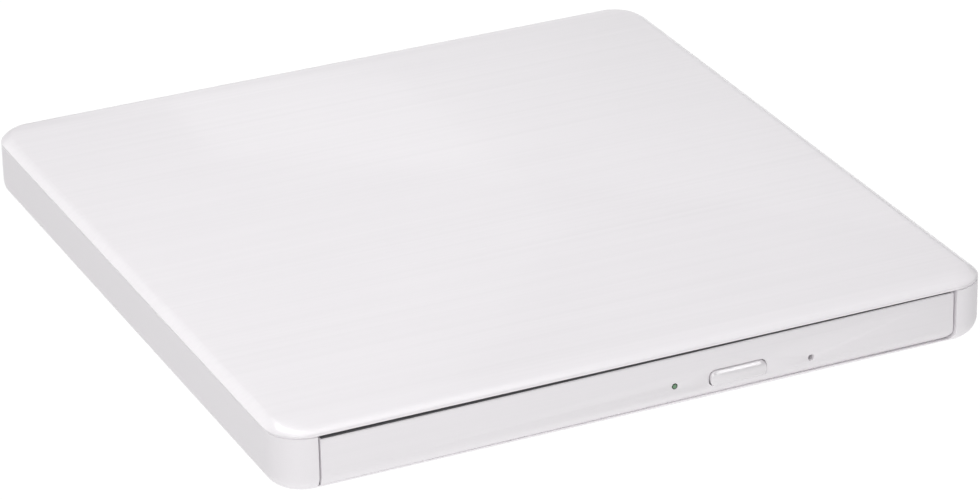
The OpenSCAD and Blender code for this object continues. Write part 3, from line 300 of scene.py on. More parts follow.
@dataclass(frozen=True)
class Metal:
    """A bare, plated or ground metal."""

    name: str
    colour: Colour
    roughness: float
    lay: Lay = Lay.GRAIN
    contrast: float = 0.12
    depth: float = 0.003

    def build(self) -> bpy.types.Material:
        """Makes the material.

        Returns:
            The material.
        """
        g = Graph(self.name)
        g.set(Metallic=1.0)
        if self.lay is Lay.SPANGLE:
            cells = g.add("ShaderNodeTexVoronoi", {"Vector": g.place(), "Scale": 320.0}).outputs["Color"]
            dust = g.noise(g.place(), 4000.0)
            marks = g.mix("ADD", g.mix("MULTIPLY", cells, 0.6), g.mix("MULTIPLY", dust, 0.4))
        elif self.lay is Lay.ROUND:
            marks = g.mix("MULTIPLY", g.rings(1.5), g.noise(g.place(), 900.0))
        else:
            long, thin = 60.0, 6000.0
            scales = {
                Lay.ALONG_X: (long, thin, thin), Lay.ALONG_Y: (thin, long, thin),
                Lay.ALONG_FEED: (long, thin, thin)
            }
            turn = -FEED_TURN if self.lay is Lay.ALONG_FEED else 0.0
            marks = g.noise(g.place(scales.get(self.lay, (2500.0,) * 3), turn), 1.0, 3.0)
        dark, pale = shade(self.colour, 1 - self.contrast), shade(self.colour, 1 + self.contrast)
        g.colour(g.ramp(marks, [(0.25, dark), (0.75, pale)]))
        g.rough(g.spread(marks, max(0.04, self.roughness - 0.1), self.roughness + 0.1))
        g.relief(marks, self.depth)
        return g.material


@dataclass(frozen=True)
class Board:
    """A circuit board under solder mask, with tracks and pads."""

    name: str
    mask: Colour
    track: Colour

    def build(self) -> bpy.types.Material:
        """Makes the material.

        Returns:
            The material.
        """
        g = Graph(self.name)
        g.set(Coat_Weight=0.25, Coat_Roughness=0.2, Specular_IOR_Level=0.5)
        cells = g.add(
            "ShaderNodeTexBrick",
            {
                "Vector": g.place(), "Scale": 260.0, "Mortar Size": 0.03, "Mortar Smooth": 0.1,
                "Brick Width": 0.9, "Row Height": 0.28, "Color1": shade(self.mask, 0.9),
                "Color2": shade(self.mask, 1.1), "Mortar": self.track
            }
        )
        g.colour(cells.outputs["Color"])
        g.rough(g.spread(g.noise(g.place(), 1500.0), 0.32, 0.5))
        g.relief(cells.outputs["Fac"], 0.02, 0.5)
        return g.material


@dataclass(frozen=True)
class Film:
    """A flat flexible cable with its conductors side by side."""

    name: str
    base: Colour
    line: Colour
    pitch: float
    turn: float = 0.0

    def build(self) -> bpy.types.Material:
        """Makes the material.

        Returns:
            The material.
        """
        g = Graph(self.name)
        g.set(Specular_IOR_Level=0.5, Coat_Weight=0.3, Coat_Roughness=0.15)
        wave = g.add(
            "ShaderNodeTexWave",
            {"Vector": g.place(turn=self.turn), "Scale": 0.314 / (self.pitch * MM), "Distortion": 0.0},
            wave_type="BANDS", bands_direction="X"
        ).outputs["Fac"]
        g.colour(g.ramp(wave, [(0.45, self.base), (0.6, self.line)]))
        g.rough(g.spread(g.noise(g.place(), 700.0), 0.3, 0.45))
        g.relief(wave, 0.03, 0.6)
        return g.material


@dataclass(frozen=True)
class Winding:
    """Lacquered copper wire on the stator's arms."""

    name: str
    colour: Colour

    def build(self) -> bpy.types.Material:
        """Makes the material.

        Returns:
            The material.
        """
        g = Graph(self.name)
        g.set(Metallic=0.9, Coat_Weight=0.6, Coat_Roughness=0.1)
        turns = g.rings(0.4)
        g.colour(g.ramp(turns, [(0.1, shade(self.colour, 0.35)), (0.6, self.colour)]))
        g.rough(g.spread(turns, 0.28, 0.5))
        g.relief(turns, 0.08)
        return g.material


@dataclass(frozen=True)
class Clear:
    """A glass or tinted clear plastic, darker towards its edge."""

    name: str
    colour: Colour
    edge: Colour
    centre: Point
    radius: float
    roughness: float = 0.08
    through: float = 0.6

    def build(self) -> bpy.types.Material:
        """Makes the material.

        Returns:
            The material.
        """
        g = Graph(self.name)
        g.set(IOR=1.5, Transmission_Weight=self.through, Coat_Weight=0.3, Coat_Roughness=0.05)
        k = 1.0 / (self.radius * MM)
        rim = g.add(
            "ShaderNodeTexGradient",
            {"Vector": g.place((k, k, k), shift=tuple(c * MM for c in self.centre))},
            gradient_type="SPHERICAL"
        ).outputs["Fac"]
        g.colour(g.ramp(rim, [(0.2, self.edge), (0.6, self.colour)]))
        g.rough(g.spread(g.noise(g.place(), 3000.0), self.roughness, self.roughness + 0.06))
        return g.material


Finish = Plastic | Metal | Board | Film | Winding | Clear


class Rule:
    """A geometry node tree with named sizes, turned into a plain mesh."""

    def __init__(self, name: str) -> None:
        """Makes the tree with its input and output.

        Args:
            name: The tree's name.
        """
        self.name = name
        self.tree = bpy.data.node_groups.new(name, "GeometryNodeTree")
        self.tree.interface.new_socket("Geometry", in_out="OUTPUT", socket_type="NodeSocketGeometry")
        self.start = self.tree.nodes.new("NodeGroupInput")
        self.end = self.tree.nodes.new("NodeGroupOutput")
        self.values: dict[str, Any] = {}

    def size(self, name: str, value: float | int | Point) -> bpy.types.NodeSocket:
        """Adds a named input.

        Args:
            name: What the size is.
            value: Its value here.

        Returns:
            The socket that carries it.
        """
        kinds = {int: "NodeSocketInt", float: "NodeSocketFloat"}
        kind = kinds.get(type(value), "NodeSocketVector")
        socket = self.tree.interface.new_socket(name, in_out="INPUT", socket_type=kind)
        self.values[socket.identifier] = value
        return self.start.outputs[name]

    def add(self, kind: str, inputs: dict[str | int, Any] | None = None, **settings: Any) -> bpy.types.Node:
        """Adds a node, with values or sockets for its inputs."""
        return new_node(self.tree, kind, inputs, settings)

    def mesh(self, shape: bpy.types.NodeSocket, material: bpy.types.Material) -> bpy.types.Mesh:
        """Closes the tree and evaluates it.

        Args:
            shape: The geometry to hand out.
            material: What it is made of.

        Returns:
            A plain mesh.
        """
        real = self.add("GeometryNodeRealizeInstances", {"Geometry": shape}).outputs[0]
        dressed = self.add("GeometryNodeSetMaterial", {"Geometry": real, "Material": material}).outputs[0]
        self.tree.links.new(dressed, self.end.inputs[0])
        holder = bpy.data.objects.new(self.name + "_holder", bpy.data.meshes.new(self.name + "_holder"))
        bpy.context.scene.collection.objects.link(holder)
        modifier = holder.modifiers.new("rule", "NODES")
        modifier.node_group = self.tree
        for identifier, value in self.values.items():
            modifier[identifier] = value
        made = bpy.data.meshes.new_from_object(holder.evaluated_get(bpy.context.evaluated_depsgraph_get()))
        holder.modifiers.remove(modifier)
        bpy.data.objects.remove(holder)
        return made


class Maker:
    """Turns meshes into dressed pieces that ride on the drive's bodies."""

    def __init__(self) -> None:
        """Starts with no materials made."""
        self.materials: dict[str, bpy.types.Material] = {}
        self.slots = {s["node"]: s["material_slot"] for s in frame["record"]["subparts"]}
        self.bodies = {n: b for b, ns in frame["record"]["behaviour"]["bodies"].items() for n in ns}

    def material(self, finish: Finish) -> bpy.types.Material:
        """The material of a finish, made once.

        Args:
            finish: The finish.

        Returns:
            Its material.
        """
        if finish.name not in self.materials:
            self.materials[finish.name] = finish.build()
        return self.materials[finish.name]

    def object(self, name: str, mesh: bpy.types.Mesh) -> bpy.types.Object:
        """A linked object for a mesh, at the origin.

        Args:
            name: The object's name.
            mesh: Its mesh.

        Returns:
            The object.
        """
        thing = bpy.data.objects.new(name, mesh)
        bpy.context.scene.collection.objects.link(thing)
        return thing

    def dress(self, finish: Finish, *nodes: str) -> None:
        """Gives solids of the frame a better material.

        Args:
            finish: The finish.
            nodes: The solids' names.
        """
        for node in nodes:
            for slot in frame["nodes"][node].material_slots:
                slot.material = self.material(finish)
            LOG.info("dressed %s with %s", node, finish.name)

    def piece(
        self, name: str, mesh: bpy.types.Mesh, finish: Finish, node: str, replaces: bool = False,
        body: str | None = None, rides: bool = True
    ) -> bpy.types.Object:
        """Makes a piece from a finished mesh.

        Args:
            name: The piece's name.
            mesh: Its mesh, already in place.
            finish: Its finish.
            node: The solid that it stands for or sits on.
            replaces: Whether it stands for that solid.
            body: The body that it rides on, if not the solid's.
            rides: Whether it rides on a body at all.

        Returns:
            The piece.
        """
        thing = self.object(name, mesh)
        if not mesh.materials:
            mesh.materials.append(self.material(finish))
        if replaces:
            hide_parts(node)
        if rides:
            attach(thing, body or self.bodies[node])
        LOG.info("piece %s, %d faces", name, len(mesh.polygons))
        return thing


def mesh_of(bm: bmesh.types.BMesh, name: str, sharp: float = 35.0) -> bpy.types.Mesh:
    """Closes a mesh in the making: millimetres to metres, smooth but for its sharp edges.

    Args:
        bm: The mesh in the making, in millimetres.
        name: Its name.
        sharp: The angle in degrees past which an edge is sharp.

    Returns:
        The mesh.
    """
    bmesh.ops.scale(bm, vec=(MM, MM, MM), verts=bm.verts)
    bm.normal_update()
    made = bpy.data.meshes.new(name)
    bm.to_mesh(made)
    bm.free()
    made.polygons.foreach_set("use_smooth", [True] * len(made.polygons))
    made.set_sharp_from_angle(angle=math.radians(sharp))
    return made


def add_rings(bm: bmesh.types.BMesh, rings: Sequence[Ring], caps: bool = True, closed: bool = True) -> None:
    """Adds a skin over a stack of rings of equal length.

    Args:
        bm: The mesh to add to.
        rings: The rings, each with the same number of points.
        caps: Whether the first and the last ring are closed by a face.
        closed: Whether each ring joins up.
    """
    rows = [[bm.verts.new(p) for p in ring] for ring in rings]
    count = len(rows[0])
    for a, b in zip(rows, rows[1:]):
        for i in range(count if closed else count - 1):
            j = (i + 1) % count
            bm.faces.new((a[i], a[j], b[j], b[i]))
    if caps:
        bm.faces.new(rows[0][::-1])
        bm.faces.new(rows[-1])


def add_box(bm: bmesh.types.BMesh, low: Point, high: Point, edge: float = 0.0) -> None:
    """Adds a box, with its edges cut back if asked.

    Args:
        bm: The mesh to add to.
        low: Its low corner.
        high: Its high corner.
        edge: Width of the cut edges.
    """
    part = bmesh.new()
    bmesh.ops.create_cube(part, size=1.0)
    for v in part.verts:
        v.co = Vector([(l + h) / 2 + c * (h - l) for l, h, c in zip(low, high, v.co)])
    if edge:
        bmesh.ops.bevel(part, geom=part.edges[:], offset=edge, segments=2, profile=0.5, affect="EDGES")
    merge_in(bm, part)


def add_lathe(
    bm: bmesh.types.BMesh, profile: Sequence[tuple[float, float]], place: Matrix, count: int = 48
) -> None:
    """Adds a turned part.

    Args:
        bm: The mesh to add to.
        profile: Radius and height pairs, from end to end.
        place: Where its axis, local Z, lies.
        count: Steps round the axis.
    """
    turns = [2 * math.pi * i / count for i in range(count)]
    rings = []
    for r, h in profile:
        rings.append([place @ Vector((r * math.cos(t), r * math.sin(t), h)) for t in turns])
    add_rings(bm, rings)


def merge_in(bm: bmesh.types.BMesh, part: bmesh.types.BMesh) -> None:
    """Moves one mesh in the making into another.

    Args:
        bm: The mesh to add to.
        part: The mesh that goes into it.
    """
    spare = bpy.data.meshes.new("spare")
    part.to_mesh(spare)
    part.free()
    bm.from_mesh(spare)
    bpy.data.meshes.remove(spare)


def cut(base: bmesh.types.BMesh, tools: Iterable[tuple[str, bmesh.types.BMesh]]) -> bmesh.types.BMesh:
    """Cuts a solid with others.

    Args:
        base: The solid.
        tools: An operation, DIFFERENCE, UNION or INTERSECT, with each tool.

    Returns:
        The cut solid.
    """
    def holder(bm: bmesh.types.BMesh) -> bpy.types.Object:
        """An object for one solid.

        Args:
            bm: The solid, which is used up.

        Returns:
            The object.
        """
        bmesh.ops.recalc_face_normals(bm, faces=bm.faces)
        spare = bpy.data.meshes.new("spare")
        bm.to_mesh(spare)
        bm.free()
        thing = bpy.data.objects.new("spare", spare)
        bpy.context.scene.collection.objects.link(thing)
        return thing

    things = [holder(base)]
    for how, tool in tools:
        things.append(holder(tool))
        modifier = things[0].modifiers.new("cut", "BOOLEAN")
        modifier.operation, modifier.solver, modifier.object = how, "EXACT", things[-1]
    done = bpy.data.meshes.new_from_object(things[0].evaluated_get(bpy.context.evaluated_depsgraph_get()))
    out = bmesh.new()
    out.from_mesh(done)
    bpy.data.meshes.remove(done)
    for thing in things:
        bpy.data.objects.remove(thing)
    bmesh.ops.remove_doubles(out, verts=out.verts, dist=1e-4)
    bmesh.ops.dissolve_limit(out, angle_limit=math.radians(0.2), verts=out.verts, edges=out.edges)
    return out


def round_edges(
    bm: bmesh.types.BMesh, edges: Iterable[bmesh.types.BMEdge], width: float, steps: int = 3
) -> None:
    """Rounds chosen edges."""
    bmesh.ops.bevel(
        bm, geom=list(edges), offset=width, segments=steps, profile=0.5, affect="EDGES", clamp_overlap=True
    )


def sweep(start: float, end: float, steps: int) -> list[float]:
    """Angles in equal steps, ends included.

    Args:
        start: First angle in degrees.
        end: Last angle in degrees.
        steps: How many steps lie between them.

    Returns:
        The angles in radians.
    """
    return [math.radians(start + (end - start) * i / steps) for i in range(steps + 1)]


def prism_y(outline: Sequence[tuple[float, float]], front: float, back: float) -> bmesh.types.BMesh:
    """A prism along Y over an outline in X and Z.

    Args:
        outline: Points in X and Z.
        front: Where it starts along Y.
        back: Where it ends along Y.

    Returns:
        The prism.
    """
    bm = bmesh.new()
    add_rings(bm, [[(x, y, z) for x, z in outline] for y in (front, back)])
    return bm


def pill(
    length: float, height: float, steps: int = 14, guard: float = 0.15, fullness: float = 2.6
) -> list[tuple[float, float]]:
    """Outline of a bar with full round ends and straight sides, middle at the origin.

    Args:
        length: Whole length.
        height: Whole height.
        steps: Steps round each end.
        guard: How far the straight sides' own corners stand from the ends.
        fullness: How full the ends are; 2 gives half circles.

    Returns:
        The outline.
    """
    r, reach, power = height / 2, (length - height) / 2, 2 / fullness
    bend = [
        (reach + r * max(0.0, math.cos(t)) ** power, math.copysign(r * abs(math.sin(t)) ** power, t))
        for t in sweep(-90, 90, steps)
    ]
    half = [(reach - guard, -r)] + bend + [(reach - guard, r)]
    return half + [(-x, -z) for x, z in half]


def disc(radius: float, steps: int = 32) -> list[tuple[float, float]]:
    """Outline of a circle, middle at the origin."""
    return [
        (radius * math.cos(2 * math.pi * i / steps), radius * math.sin(2 * math.pi * i / steps))
        for i in range(steps)
    ]


# How far a cutting tool runs past what it cuts, in millimetres
CUT_PAST = 1.0

COVER_FINISH = Plastic("pearl_cover", tone(243, 240, 243), 0.36, Lay.ALONG_X, 0.021, 0.0012, 0.8, 0.5, 0.4)
CASE_FINISH = Plastic("pearl_case", tone(240, 237, 240), 0.5, Lay.GRAIN, 0.01, 0.0015, 0.25, 0.2)
BEZEL_FINISH = Plastic("pearl_bezel", tone(239, 236, 239), 0.42, Lay.ALONG_X, 0.010, 0.0012, 0.4, 0.4)
BUTTON_FINISH = Plastic("pearl_button", tone(236, 233, 236), 0.26, Lay.GRAIN, 0.006, 0.0006, 0.25, 0.6, 1.0)
FOOT_FINISH = Plastic("grey_rubber", tone(92, 92, 94), 0.78, Lay.GRAIN, 0.08, 0.03, 0.2, 0.25)
TRAY_FINISH = Plastic("black_tray", tone(40, 40, 42), 0.55, Lay.GRAIN, 0.10, 0.012, 0.18, 0.4)
GUIDE_FINISH = Plastic("dark_guide", tone(58, 58, 61), 0.45, Lay.ALONG_Y, 0.06, 0.004, 0.3, 0.45)
HUB_FINISH = Plastic("black_hub", tone(34, 34, 36), 0.38, Lay.GRAIN, 0.06, 0.004, 0.2, 0.5)
# Grey strip colour: painted shade in the gap between the bezel's top and the cover.
GAP_SHADE_FINISH = Plastic("grey_gap_shade", tone(118, 118, 120), 0.9, Lay.GRAIN, 0.10, 0.02, 0.15, 0.1)
SOFT_FINISH = Plastic("soft_black", tone(26, 26, 27), 0.82, Lay.GRAIN, 0.10, 0.02, 0.15, 0.2)
IVORY_FINISH = Plastic("ivory_moulding", tone(226, 221, 205), 0.46, Lay.GRAIN, 0.03, 0.004, 0.25, 0.45)
CHIP_FINISH = Plastic("chip_epoxy", tone(38, 38, 40), 0.6, Lay.GRAIN, 0.12, 0.008, 0.1, 0.35)
CAPACITOR_FINISH = Plastic("tan_ceramic", tone(186, 152, 108), 0.5, Lay.GRAIN, 0.10, 0.004, 0.15, 0.4)
SHEET_FINISH = Metal("zinc_sheet", tone(196, 198, 202), 0.34, Lay.SPANGLE, 0.08, 0.003)
RAIL_FINISH = Metal("bare_rail", tone(190, 192, 196), 0.3, Lay.ALONG_Y, 0.10)
SCREW_FINISH = Metal("plated_screw", tone(170, 171, 176), 0.28, Lay.GRAIN, 0.12)
SOCKET_FINISH = Metal("plated_socket", tone(205, 207, 210), 0.22, Lay.ALONG_Y, 0.08)
MOTOR_FINISH = Metal("plated_motor", tone(150, 152, 157), 0.36, Lay.ALONG_FEED, 0.12)
GROUND_FINISH = Metal("ground_steel", tone(215, 216, 219), 0.16, Lay.ALONG_FEED, 0.06)
BALL_FINISH = Metal("polished_ball", tone(222, 223, 226), 0.1, Lay.GRAIN, 0.04, 0.0005)
MAGNET_FINISH = Metal("sintered_magnet", tone(92, 93, 97), 0.55, Lay.GRAIN, 0.2, 0.01)
BRONZE_FINISH = Metal("sintered_bronze", tone(186, 150, 92), 0.42, Lay.GRAIN, 0.14, 0.006)
CAST_FINISH = Metal("cast_sled", tone(150, 152, 156), 0.48, Lay.GRAIN, 0.14, 0.012)
BOARD_FINISH = Board("green_board", tone(28, 96, 60), tone(52, 126, 84))
WIRE_FINISH = Winding("stator_copper", tone(196, 112, 58))
RIBBON_FINISH = Film("white_ribbon", tone(232, 231, 226), tone(176, 178, 182), 1.0)
LEAD_FINISH = Film("amber_lead", tone(206, 142, 58), tone(150, 92, 36), 0.8, -FEED_TURN)
LAMP_FINISH = Clear("lamp_resin", tone(150, 214, 152), tone(90, 160, 96), (5.5, -66.0, 5.5), 1.4, 0.2, 0.3)
OBJECTIVE_FINISH = Clear(
    "coated_objective", tone(150, 172, 224), tone(70, 88, 140), (-16.97, -23.97, 7.4), 2.2, 0.03, 0.7
)


@dataclass
class Shell:
    """The top cover and the lower case, with feet and screws."""

    half_w: float = 68.75
    half_d: float = 72.0
    corner: float = 7.0
    base: float = 1.5
    floor: float = 3.0
    seam: float = 12.5
    top: float = 14.0
    under: float = 12.35
    wall: float = 1.8
    edge: float = 3.5
    land: float = 0.25
    groove: float = 0.22
    groove_side: float = 0.06
    groove_z: tuple[float, float] = (0.18, 0.14)
    chamfer: float = 0.06
    roll_levels: int = 16
    roll_end: float = math.radians(74)
    roll_side: float = 2.0
    roll_front: float = 5.0
    flat: float = 0.65
    post_back: float = -64.8
    opening: float = 61.575
    sill: float = 2.6
    sill_corner: float = 1.5
    sill_start: float = 0.155
    sill_rise: tuple[tuple[float, float], ...] = ((20.0, 0.325), (42.0, 0.24))
    mouth_round: float = 0.35
    plate_gap: float = 0.15
    plate_step: float = 1.0
    plate_lap: float = 0.3
    hook_ys: tuple[float, ...] = (-40.0, 0.0, 40.0)
    hook_half: tuple[float, float] = (0.5, 4.0)
    hook_drop: float = 2.4
    hook_lap: float = 0.01
    hook_edge: float = 0.1
    foot_at: tuple[float, float] = (61.0125, 56.0)
    foot_r: float = 4.0
    foot_pocket: float = 2.0
    socket: tuple[float, float, float, float] = (26.0, 34.0, 4.75, 8.95)
    steps: int = 20
    arc_steps: int = 12

    def ring(self, side: float, front: float, back: float, z: float) -> Ring:
        """A rounded rectangle with its own inset at the sides, the front and the back.

        Args:
            side: Inset at the sides.
            front: Inset at the front.
            back: Inset at the back.
            z: Height.

        Returns:
            The ring.
        """
        out: Ring = []
        for k in range(4):
            sx, fy = (1 if k in (0, 3) else -1), k >= 2
            rx, ry = self.corner - side, self.corner - (front if fy else back)
            mid_x = sx * (self.half_w - self.corner)
            mid_y = (-1 if fy else 1) * (self.half_d - self.corner)
            for a in sweep(90 * k, 90 * (k + 1), self.steps):
                out.append((mid_x + rx * math.cos(a), mid_y + ry * math.sin(a), z))
        return out

    def cover(self, maker: Maker) -> None:
        """Builds the top cover with its rolled edge, locating plate and hooks.

        Args:
            maker: Makes and dresses the pieces.
        """
        bm = bmesh.new()
        end, rim = self.roll_end, self.chamfer
        rise = self.top - self.seam - self.land
        rings = [self.ring(rim, rim, rim, self.seam), self.ring(0, 0, 0, self.seam + rim)]
        for i in range(self.roll_levels + 1):
            a = end * i / self.roll_levels
            c = (1 - math.cos(a)) / (1 - math.cos(end))
            up = math.sin(a) / math.sin(end)
            side = self.roll_side * (c + (up - c) * self.flat)
            z = self.seam + self.land + rise * up
            rings.append(self.ring(side, self.roll_front * c, self.roll_side * c, z))
        add_rings(bm, rings)
        gap = self.wall + self.plate_gap
        low = (-self.half_w + gap, self.post_back + self.plate_step, self.under)
        high = (self.half_w - gap, self.half_d - self.corner, self.seam + self.plate_lap)
        add_box(bm, low, high)
        thick, wide = self.hook_half
        for y in self.hook_ys:
            for s in (-1, 1):
                x = s * (self.half_w - gap - thick)
                low = (x - thick, y - wide, self.seam - self.hook_drop)
                add_box(bm, low, (x + thick, y + wide, self.under + self.hook_lap), self.hook_edge)
        maker.piece("cover_shell", mesh_of(bm, "cover_shell", 40), COVER_FINISH, "top_cover", True)

    def skin(self) -> bmesh.types.BMesh:
        """The lower case's outside, with its rounded edge and the groove under the cover.

        Returns:
            The outside as a solid.
        """
        bm = bmesh.new()
        rings = []
        for a in sweep(90, 0, self.arc_steps):
            inset = self.edge * (1 - math.cos(a))
            rings.append(self.ring(inset, inset, inset, self.base + self.edge * (1 - math.sin(a))))
        depth, side = self.groove, self.groove_side
        start, full = self.groove_z
        rings += [self.ring(0, 0, 0, self.seam - start), self.ring(side, depth, depth, self.seam - full)]
        rings.append(self.ring(side, depth, depth, self.seam))
        add_rings(bm, rings)
        return bm

    def room(self) -> bmesh.types.BMesh:
        """The space between the lower case's walls, behind its corner posts.

        Returns:
            The space as a solid.
        """
        bm = bmesh.new()
        r = self.corner - self.wall
        x, y = self.half_w - self.wall, self.half_d - self.wall
        plan = [(-x, self.post_back), (x, self.post_back)]
        for k, middle in enumerate((x - r, r - x)):
            for a in sweep(90 * k, 90 * (k + 1), self.arc_steps):
                plan.append((middle + r * math.cos(a), y - r + r * math.sin(a)))
        add_rings(bm, [[(px, py, z) for px, py in plan] for z in (self.floor, self.top)])
        return bm

    def lower(self, maker: Maker) -> None:
        """Builds the lower case with its front opening, socket window and foot pockets.

        Args:
            maker: Makes and dresses the pieces.
        """
        front, back = -self.half_d - CUT_PAST, self.post_back + CUT_PAST
        tools = [self.room(), prism_y(self.opening_outline(), front, back)]
        left, right, low, high = self.socket
        inside = self.half_d - self.wall - CUT_PAST
        window = bmesh.new()
        add_box(window, (left, inside, low), (right, self.half_d + CUT_PAST, high))
        tools.append(window)
        pocket_profile = [(self.foot_r, self.base - CUT_PAST), (self.foot_r, self.foot_pocket)]
        for sx in (-1, 1):
            for sy in (-1, 1):
                pocket = bmesh.new()
                place = Matrix.Translation((sx * self.foot_at[0], sy * self.foot_at[1], 0))
                add_lathe(pocket, pocket_profile, place)
                tools.append(pocket)
        bm = cut(self.skin(), [("DIFFERENCE", tool) for tool in tools])
        round_edges(bm, self.mouth_edges(bm), self.mouth_round)
        maker.piece("lower_shell", mesh_of(bm, "lower_shell", 40), CASE_FINISH, "bottom_case", True)

    def opening_outline(self) -> list[tuple[float, float]]:
        """Outline of the front opening in X and Z, round at its lower right.

        Returns:
            The outline.
        """
        r = self.sill_corner
        turn = sweep(-90, 0, 8)
        low = [(self.opening - r + r * math.cos(t), self.sill + r + r * math.sin(t)) for t in turn]
        rise = [(-self.opening, self.sill + self.sill_start)]
        rise += [(x, self.sill + z) for x, z in self.sill_rise]
        over = self.top + CUT_PAST
        return rise + low + [(self.opening, over), (-self.opening, over)]

    def mouth_edges(self, bm: bmesh.types.BMesh) -> list[bmesh.types.BMEdge]:
        """The front edges of the opening.

        Args:
            bm: The lower case.

        Returns:
            The edges.
        """
        deep, slack, crease = 2.2, 0.01, math.radians(40)
        top = self.seam - self.groove_z[0] - slack

        def near(v: bmesh.types.BMVert) -> bool:
            """Whether a corner is on the opening's front edge."""
            x, y, z = v.co
            return y < -self.half_d + deep and abs(x) < self.opening + slack and self.sill - slack < z < top

        def sharp(e: bmesh.types.BMEdge) -> bool:
            """Whether two faces meet at the edge with a clear angle."""
            return len(e.link_faces) == 2 and e.calc_face_angle(0.0) > crease

        return [e for e in bm.edges if all(near(v) for v in e.verts) and sharp(e)]

    def build(self, maker: Maker) -> None:
        """Builds and dresses the whole shell.

        Args:
            maker: Makes and dresses the pieces.
        """
        self.cover(maker)
        self.lower(maker)
        maker.dress(FOOT_FINISH, "rubber_feet")
        maker.dress(SCREW_FINISH, "case_screws")


@dataclass
class TrayFront:
    """The bezel with its button, status window and emergency hole."""

    width: float = 122.25
    face: float = -71.7
    depth: float = 2.1
    low: float = 2.9
    high: float = 11.8
    base: float = 1.5
    edge: float = 3.5
    corner: float = 1.5
    roll: float = math.radians(0.12)
    yaw: float = math.radians(0.14)
    button_at: tuple[float, float] = (17.85, 6.0)
    button_size: tuple[float, float] = (11.0, 2.8)
    button_gap: float = 0.2
    window_at: tuple[float, float] = (5.5, 6.2)
    window_r: float = 0.55
    window_gap: float = 0.02
    window_lap: float = 0.1
    dome_back: float = 0.02
    dome_rise: float = 0.07
    pipe_drop: float = 0.4
    pipe_past: float = 0.2
    pipe_y: tuple[float, float] = (0.05, 2.55)
    hole_at: tuple[float, float] = (32.4, 5.55)
    hole_r: float = 0.6
    top_round: float = 0.25
    rim_round: float = 0.12
    lip: float = 0.27
    rebate_drop: float = 0.5
    rebate_end: float = 0.3
    # Placing of the grey strip of painted shade behind the bezel's lip
    gap_shade_end: float = 0.04
    gap_shade_front: float = 0.02
    gap_shade_back: float = 0.05
    gap_shade_drop: float = 0.06
    gap_shade_edge: float = 0.05
    crown: float = 0.34
    shoulder: float = 0.06
    slope: float = 0.5
    under_draw: float = 0.14
    end_draw: float = 0.1
    sag: tuple[float, float] = (0.09, -0.1)
    switch_z: float = 5.2
    flange_past: float = 0.8
    flange_half: float = 1.0
    flange_y: tuple[float, float] = (0.15, 0.9)
    stem_half: float = 3.6
    stem_lap: float = 0.6
    stem_z: tuple[float, float] = (-0.5, 0.7)
    stem_end: float = -65.85
    stem_edge: float = 0.08

    def place(self) -> Matrix:
        """Where the bezel sits on its clips.

        Returns:
            The placing matrix.
        """
        middle = Vector((0, self.face, (self.low + self.high) / 2))
        turn = Matrix.Rotation(self.yaw, 4, "Z") @ Matrix.Rotation(-self.roll, 4, "Y")
        return Matrix.Translation(middle) @ turn @ Matrix.Translation(-middle)

    def inset(self, z: float) -> float:
        """How far the face draws back at a height near the lower edge."""
        d = self.base + self.edge - z
        return self.edge - math.sqrt(max(0.0, self.edge ** 2 - d * d)) if d > 0 else 0.0

    def section(self) -> list[tuple[float, float]]:
        """The bezel's section in Y and Z, drawn back at its foot and rounded at its top.

        Returns:
            The section.
        """
        back, r, steps = self.face + self.depth, self.top_round, 12
        rise = self.base + self.edge - self.low
        heights = [self.low + rise * i / steps for i in range(steps + 1)]
        foot = [(self.face + self.inset(z), z) for z in heights]
        head = [(self.face + r - r * math.cos(t), self.high - r + r * math.sin(t)) for t in sweep(0, 90, 5)]
        return [(back, self.low)] + foot + head + [(back, self.high)]

    def outline(self) -> list[tuple[float, float]]:
        """The bezel's outline in X and Z: past its edges, but for the right end with its round foot.

        Returns:
            The outline.
        """
        w, c, low, high = self.width / 2, self.corner, self.low - CUT_PAST, self.high + CUT_PAST
        bend = [(w - c + c * math.cos(t), self.low + c + c * math.sin(t)) for t in sweep(0, -90, 8)]
        return [(-w - CUT_PAST, low), (-w - CUT_PAST, high), (w, high)] + bend + [(w - c, low)]

    def bezel(self, maker: Maker) -> None:
        """Builds the bezel plate with its openings.

        Args:
            maker: Makes and dresses the pieces.
        """
        w, back = self.width / 2, self.face + self.depth
        bm = bmesh.new()
        add_rings(bm, [[(x, y, z) for y, z in self.section()] for x in (-w, w)])
        reach = (self.face - CUT_PAST, back + CUT_PAST)
        tools = [("INTERSECT", prism_y(self.outline(), *reach))]
        length, height = (s + 2 * self.button_gap for s in self.button_size)
        openings = (
            (pill(length, height), self.button_at),
            (disc(self.window_r + self.window_gap), self.window_at),
            (disc(self.hole_r), self.hole_at),
        )
        for shape, (x, z) in openings:
            tools.append(("DIFFERENCE", prism_y([(x + px, z + pz) for px, pz in shape], *reach)))
        bm = cut(bm, tools)
        round_edges(bm, [e for e in bm.edges if self.on_rim(e)], self.rim_round, 2)
        rebate = bmesh.new()
        end = w - self.rebate_end
        low = (-end, self.face + self.lip, self.high - self.rebate_drop)
        add_box(rebate, low, (end, back + CUT_PAST, self.high + CUT_PAST))
        bm = cut(bm, [("DIFFERENCE", rebate)])
        bm.transform(self.place())
        maker.piece("bezel_plate", mesh_of(bm, "bezel_plate", 30), BEZEL_FINISH, "front_bezel", True)

    def on_rim(self, e: bmesh.types.BMEdge) -> bool:
        """Whether an edge of the bezel is a sharp front edge above the sill.

        Args:
            e: The edge.

        Returns:
            True for such an edge.
        """
        crease, short, slack = math.radians(50), 0.3, 0.01
        if len(e.link_faces) != 2 or e.calc_face_angle(0.0) <= crease:
            return False
        front, sill = self.face + self.depth - short, self.low + slack
        return all(v.co.y < front for v in e.verts) and any(v.co.z > sill for v in e.verts)

